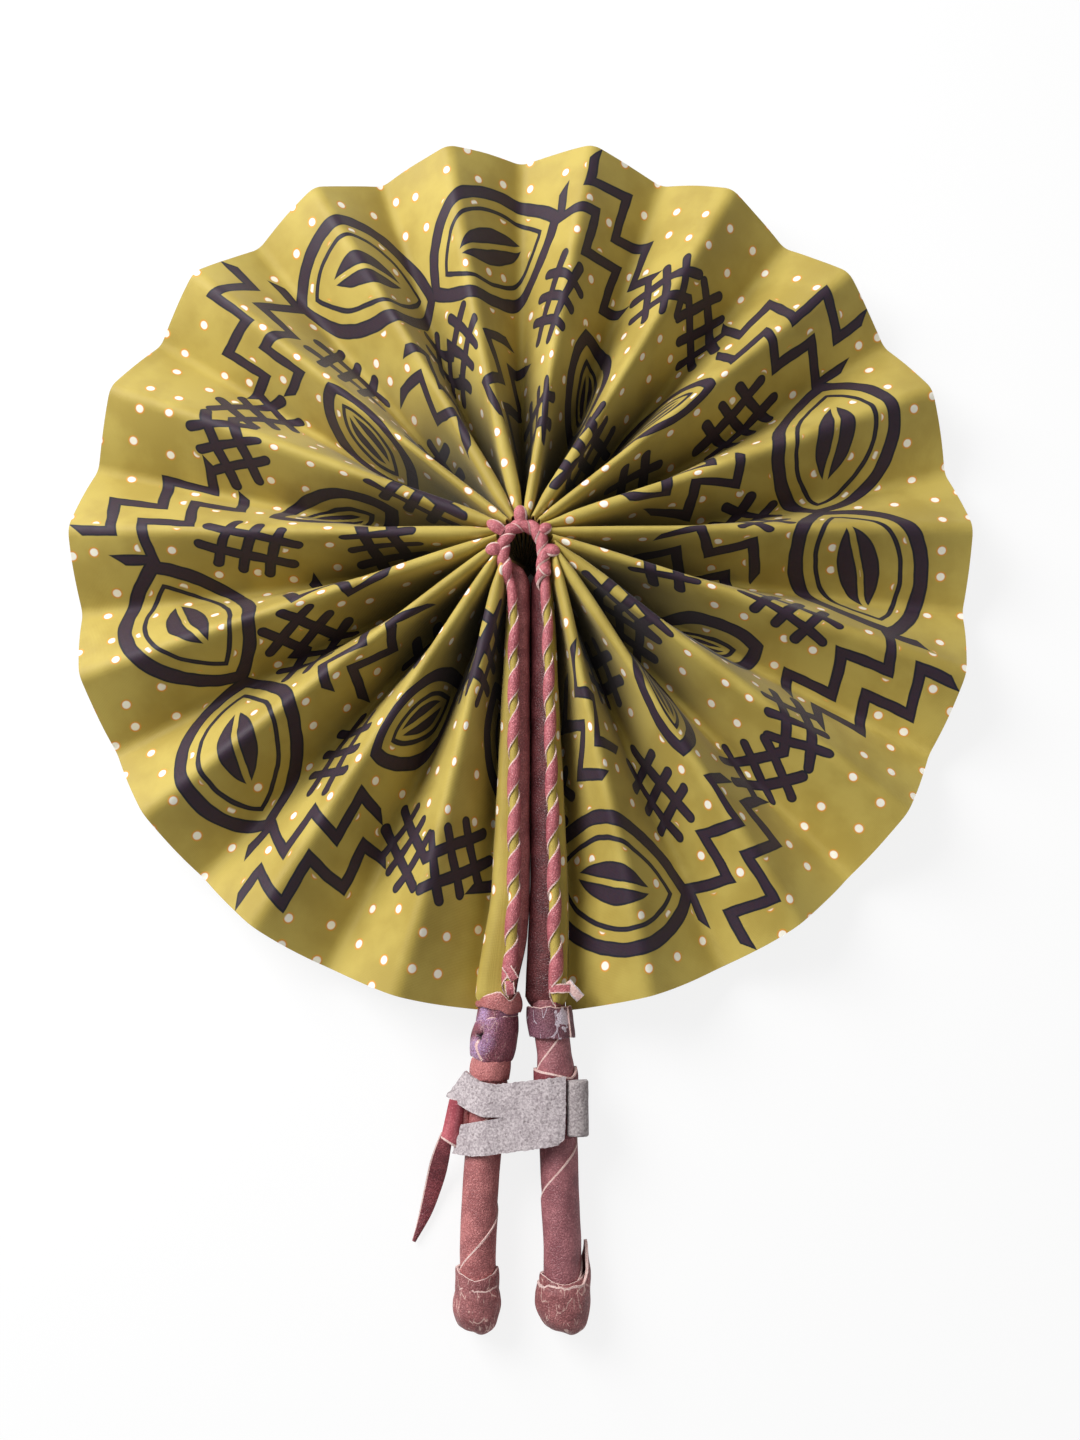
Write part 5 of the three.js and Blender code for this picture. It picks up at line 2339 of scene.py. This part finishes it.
@dataclass
class Studio:
    """Camera, floor and soft light."""

    plan: FanPlan
    lens: float = 33.75
    eye: Point = (5.78, -125.92, 404.3)
    target: Point = (5.78, -50.5, 13.0)
    floor_size: float = 24.0
    floor_at: Point = (0.0, 0.0, -0.0004)
    floor_colour: Colour = (0.93, 0.93, 0.93, 1.0)
    glow_middle: Point = (0.0, 0.0, 0.4)
    glow_ramp: Ramp = (0.085, 0.135, 0.0, 0.84)
    aim: Point = (0.0, 0.0, 0.01)
    lamps: tuple[Lamp, ...] = (
        Lamp("key", (-0.5, 0.38, 0.5), 0.5, 9.7), Lamp("fill", (0.9, -0.7, 1.1), 1.2, 2.5),
    )
    surround: Colour = (1.0, 1.0, 1.0, 1.0)
    surround_level: float = 0.26

    def camera(self) -> None:
        """Sets the camera at the photograph's angle."""
        data = bpy.data.cameras.new("view")
        data.sensor_fit = "VERTICAL"
        data.sensor_height = 36.0
        data.lens = self.lens
        data.dof.use_dof = False
        data.clip_start = 0.01
        camera = bpy.data.objects.new("view", data)
        bpy.context.scene.collection.objects.link(camera)
        camera.location = self.plan.place(*self.eye)
        toward = self.plan.place(*self.target) - camera.location
        camera.rotation_euler = toward.to_track_quat("-Z", "Y").to_euler()
        bpy.context.scene.camera = camera

    def floor(self) -> None:
        """Lays a plain white floor that keeps the soft shadow."""
        clear_selection()
        bpy.ops.mesh.primitive_plane_add(size=self.floor_size, location=self.floor_at)
        plane = bpy.context.active_object
        plane.name = "floor"
        w = Wires("floor")
        w.surface(Base_Color=self.floor_colour, Roughness=0.9, Specular_IOR_Level=0.1)
        glow = w.add("Emission")
        w.link(1.0, glow.inputs["Strength"])
        away = w.add("VectorMath", operation="DISTANCE")
        w.link(w.spot(), away.inputs[0])
        w.link(self.plan.place(*self.glow_middle), away.inputs[1])
        bare = w.step(away.outputs["Value"], *self.glow_ramp)
        share = w.math("MULTIPLY", w.add("LightPath").outputs["Is Camera Ray"], bare)
        mix = w.add("MixShader")
        for value, socket in zip((share, w.shader.outputs[0], glow.outputs[0]), mix.inputs):
            w.link(value, socket)
        w.link(mix.outputs[0], w.tree.nodes["Material Output"].inputs["Surface"])
        plane.data.materials.append(w.material)

    def hang(self, lamp: Lamp) -> None:
        """Hangs a lamp aimed at the leaf.

        Args:
            lamp: its name, place, size and power.
        """
        data = bpy.data.lights.new(lamp.name, "AREA")
        data.size = lamp.size
        data.energy = lamp.power
        hung = bpy.data.objects.new(lamp.name, data)
        bpy.context.scene.collection.objects.link(hung)
        hung.location = lamp.place
        hung.rotation_euler = (Vector(self.aim) - hung.location).to_track_quat("-Z", "Y").to_euler()

    def light(self) -> None:
        """Hangs a soft key at the upper left and a fill, and sets an even surround."""
        world = bpy.context.scene.world or bpy.data.worlds.new("surround")
        bpy.context.scene.world = world
        world.use_nodes = True
        tree = world.node_tree
        back = tree.nodes["Background"]
        back.inputs["Color"].default_value = self.surround
        path = tree.nodes.new("ShaderNodeLightPath")
        level = tree.nodes.new("ShaderNodeMapRange")
        level.inputs["To Min"].default_value = self.surround_level
        tree.links.new(path.outputs["Is Camera Ray"], level.inputs["Value"])
        tree.links.new(level.outputs[0], back.inputs["Strength"])
        for lamp in self.lamps:
            self.hang(lamp)
        bpy.context.scene.view_settings.view_transform = "Standard"

    def build(self) -> None:
        """Sets the stage."""
        self.camera()
        self.floor()
        self.light()


def main() -> None:
    """Builds the whole scene."""
    logging.basicConfig(level=logging.INFO, format="%(message)s")
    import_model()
    plan = FanPlan()
    finishes = Finishes()
    leaf = Leaf(plan, finishes)
    left_guard = Guard(
        plan, finishes, Side.LEFT, finishes.red, piping_top=4.4, piping_end=129.8, inset=2.4, flare=0.24,
        slope=0.06,
        scraps=(
            Scrap("left_lace_end", (-2.6, 123.8, 18.2), (4.6, 2.6), -58.0),
            Scrap("left_lace_tip", (-2.7, 128.0, 17.6), (3.6, 2.6), -84.0),
        ),
    )
    # Its leather is the darker copy, painted shade.
    right_guard = Guard(
        plan, finishes, Side.RIGHT, finishes.inner, piping_top=2.8, piping_end=132.0, inset=0.2, flare=0.0,
        slope=0.3,
        scraps=(
            Scrap("right_lace_end", (11.4, 128.2, 17.3), (5.4, 2.5), 2.0),
            Scrap("right_tag", (15.2, 128.8, 16.7), (5.8, 2.8), -48.0, pale=True),
        ),
    )
    left_handle = Handle(
        plan, finishes, Side.LEFT, finishes.red, wrap_radius=4.6, seam_at=200.0, slim=0.4, slim_to=155.0,
        cap_radius=6.1, mouth=208.8, flap=0.0, taper=0.03, strip_rise=3.4,
        strip_line=((0.2, -1.0), (1.3, 1.2), (1.7, 1.4), (2.9, -1.4)),
    )
    right_handle = Handle(
        plan, finishes, Side.RIGHT, finishes.brown, wrap_radius=4.85, seam_at=179.8, slim=0.35,
        slim_to=150.0, cap_radius=7.2, mouth=208.2, flap=11.0, taper=0.1, strip_rise=1.6,
        strip_line=((0.3, -0.6), (1.1, 1.0), (1.7, 0.9), (2.8, -0.8)),
    )
    pieces = (
        leaf, left_guard, right_guard, EyeLacing(plan, finishes, leaf), left_handle, right_handle,
        Strap(plan, finishes, right_handle), Toggle(plan, finishes), Studio(plan),
    )
    for piece in pieces:
        piece.build()


if __name__ == "__main__":
    main()
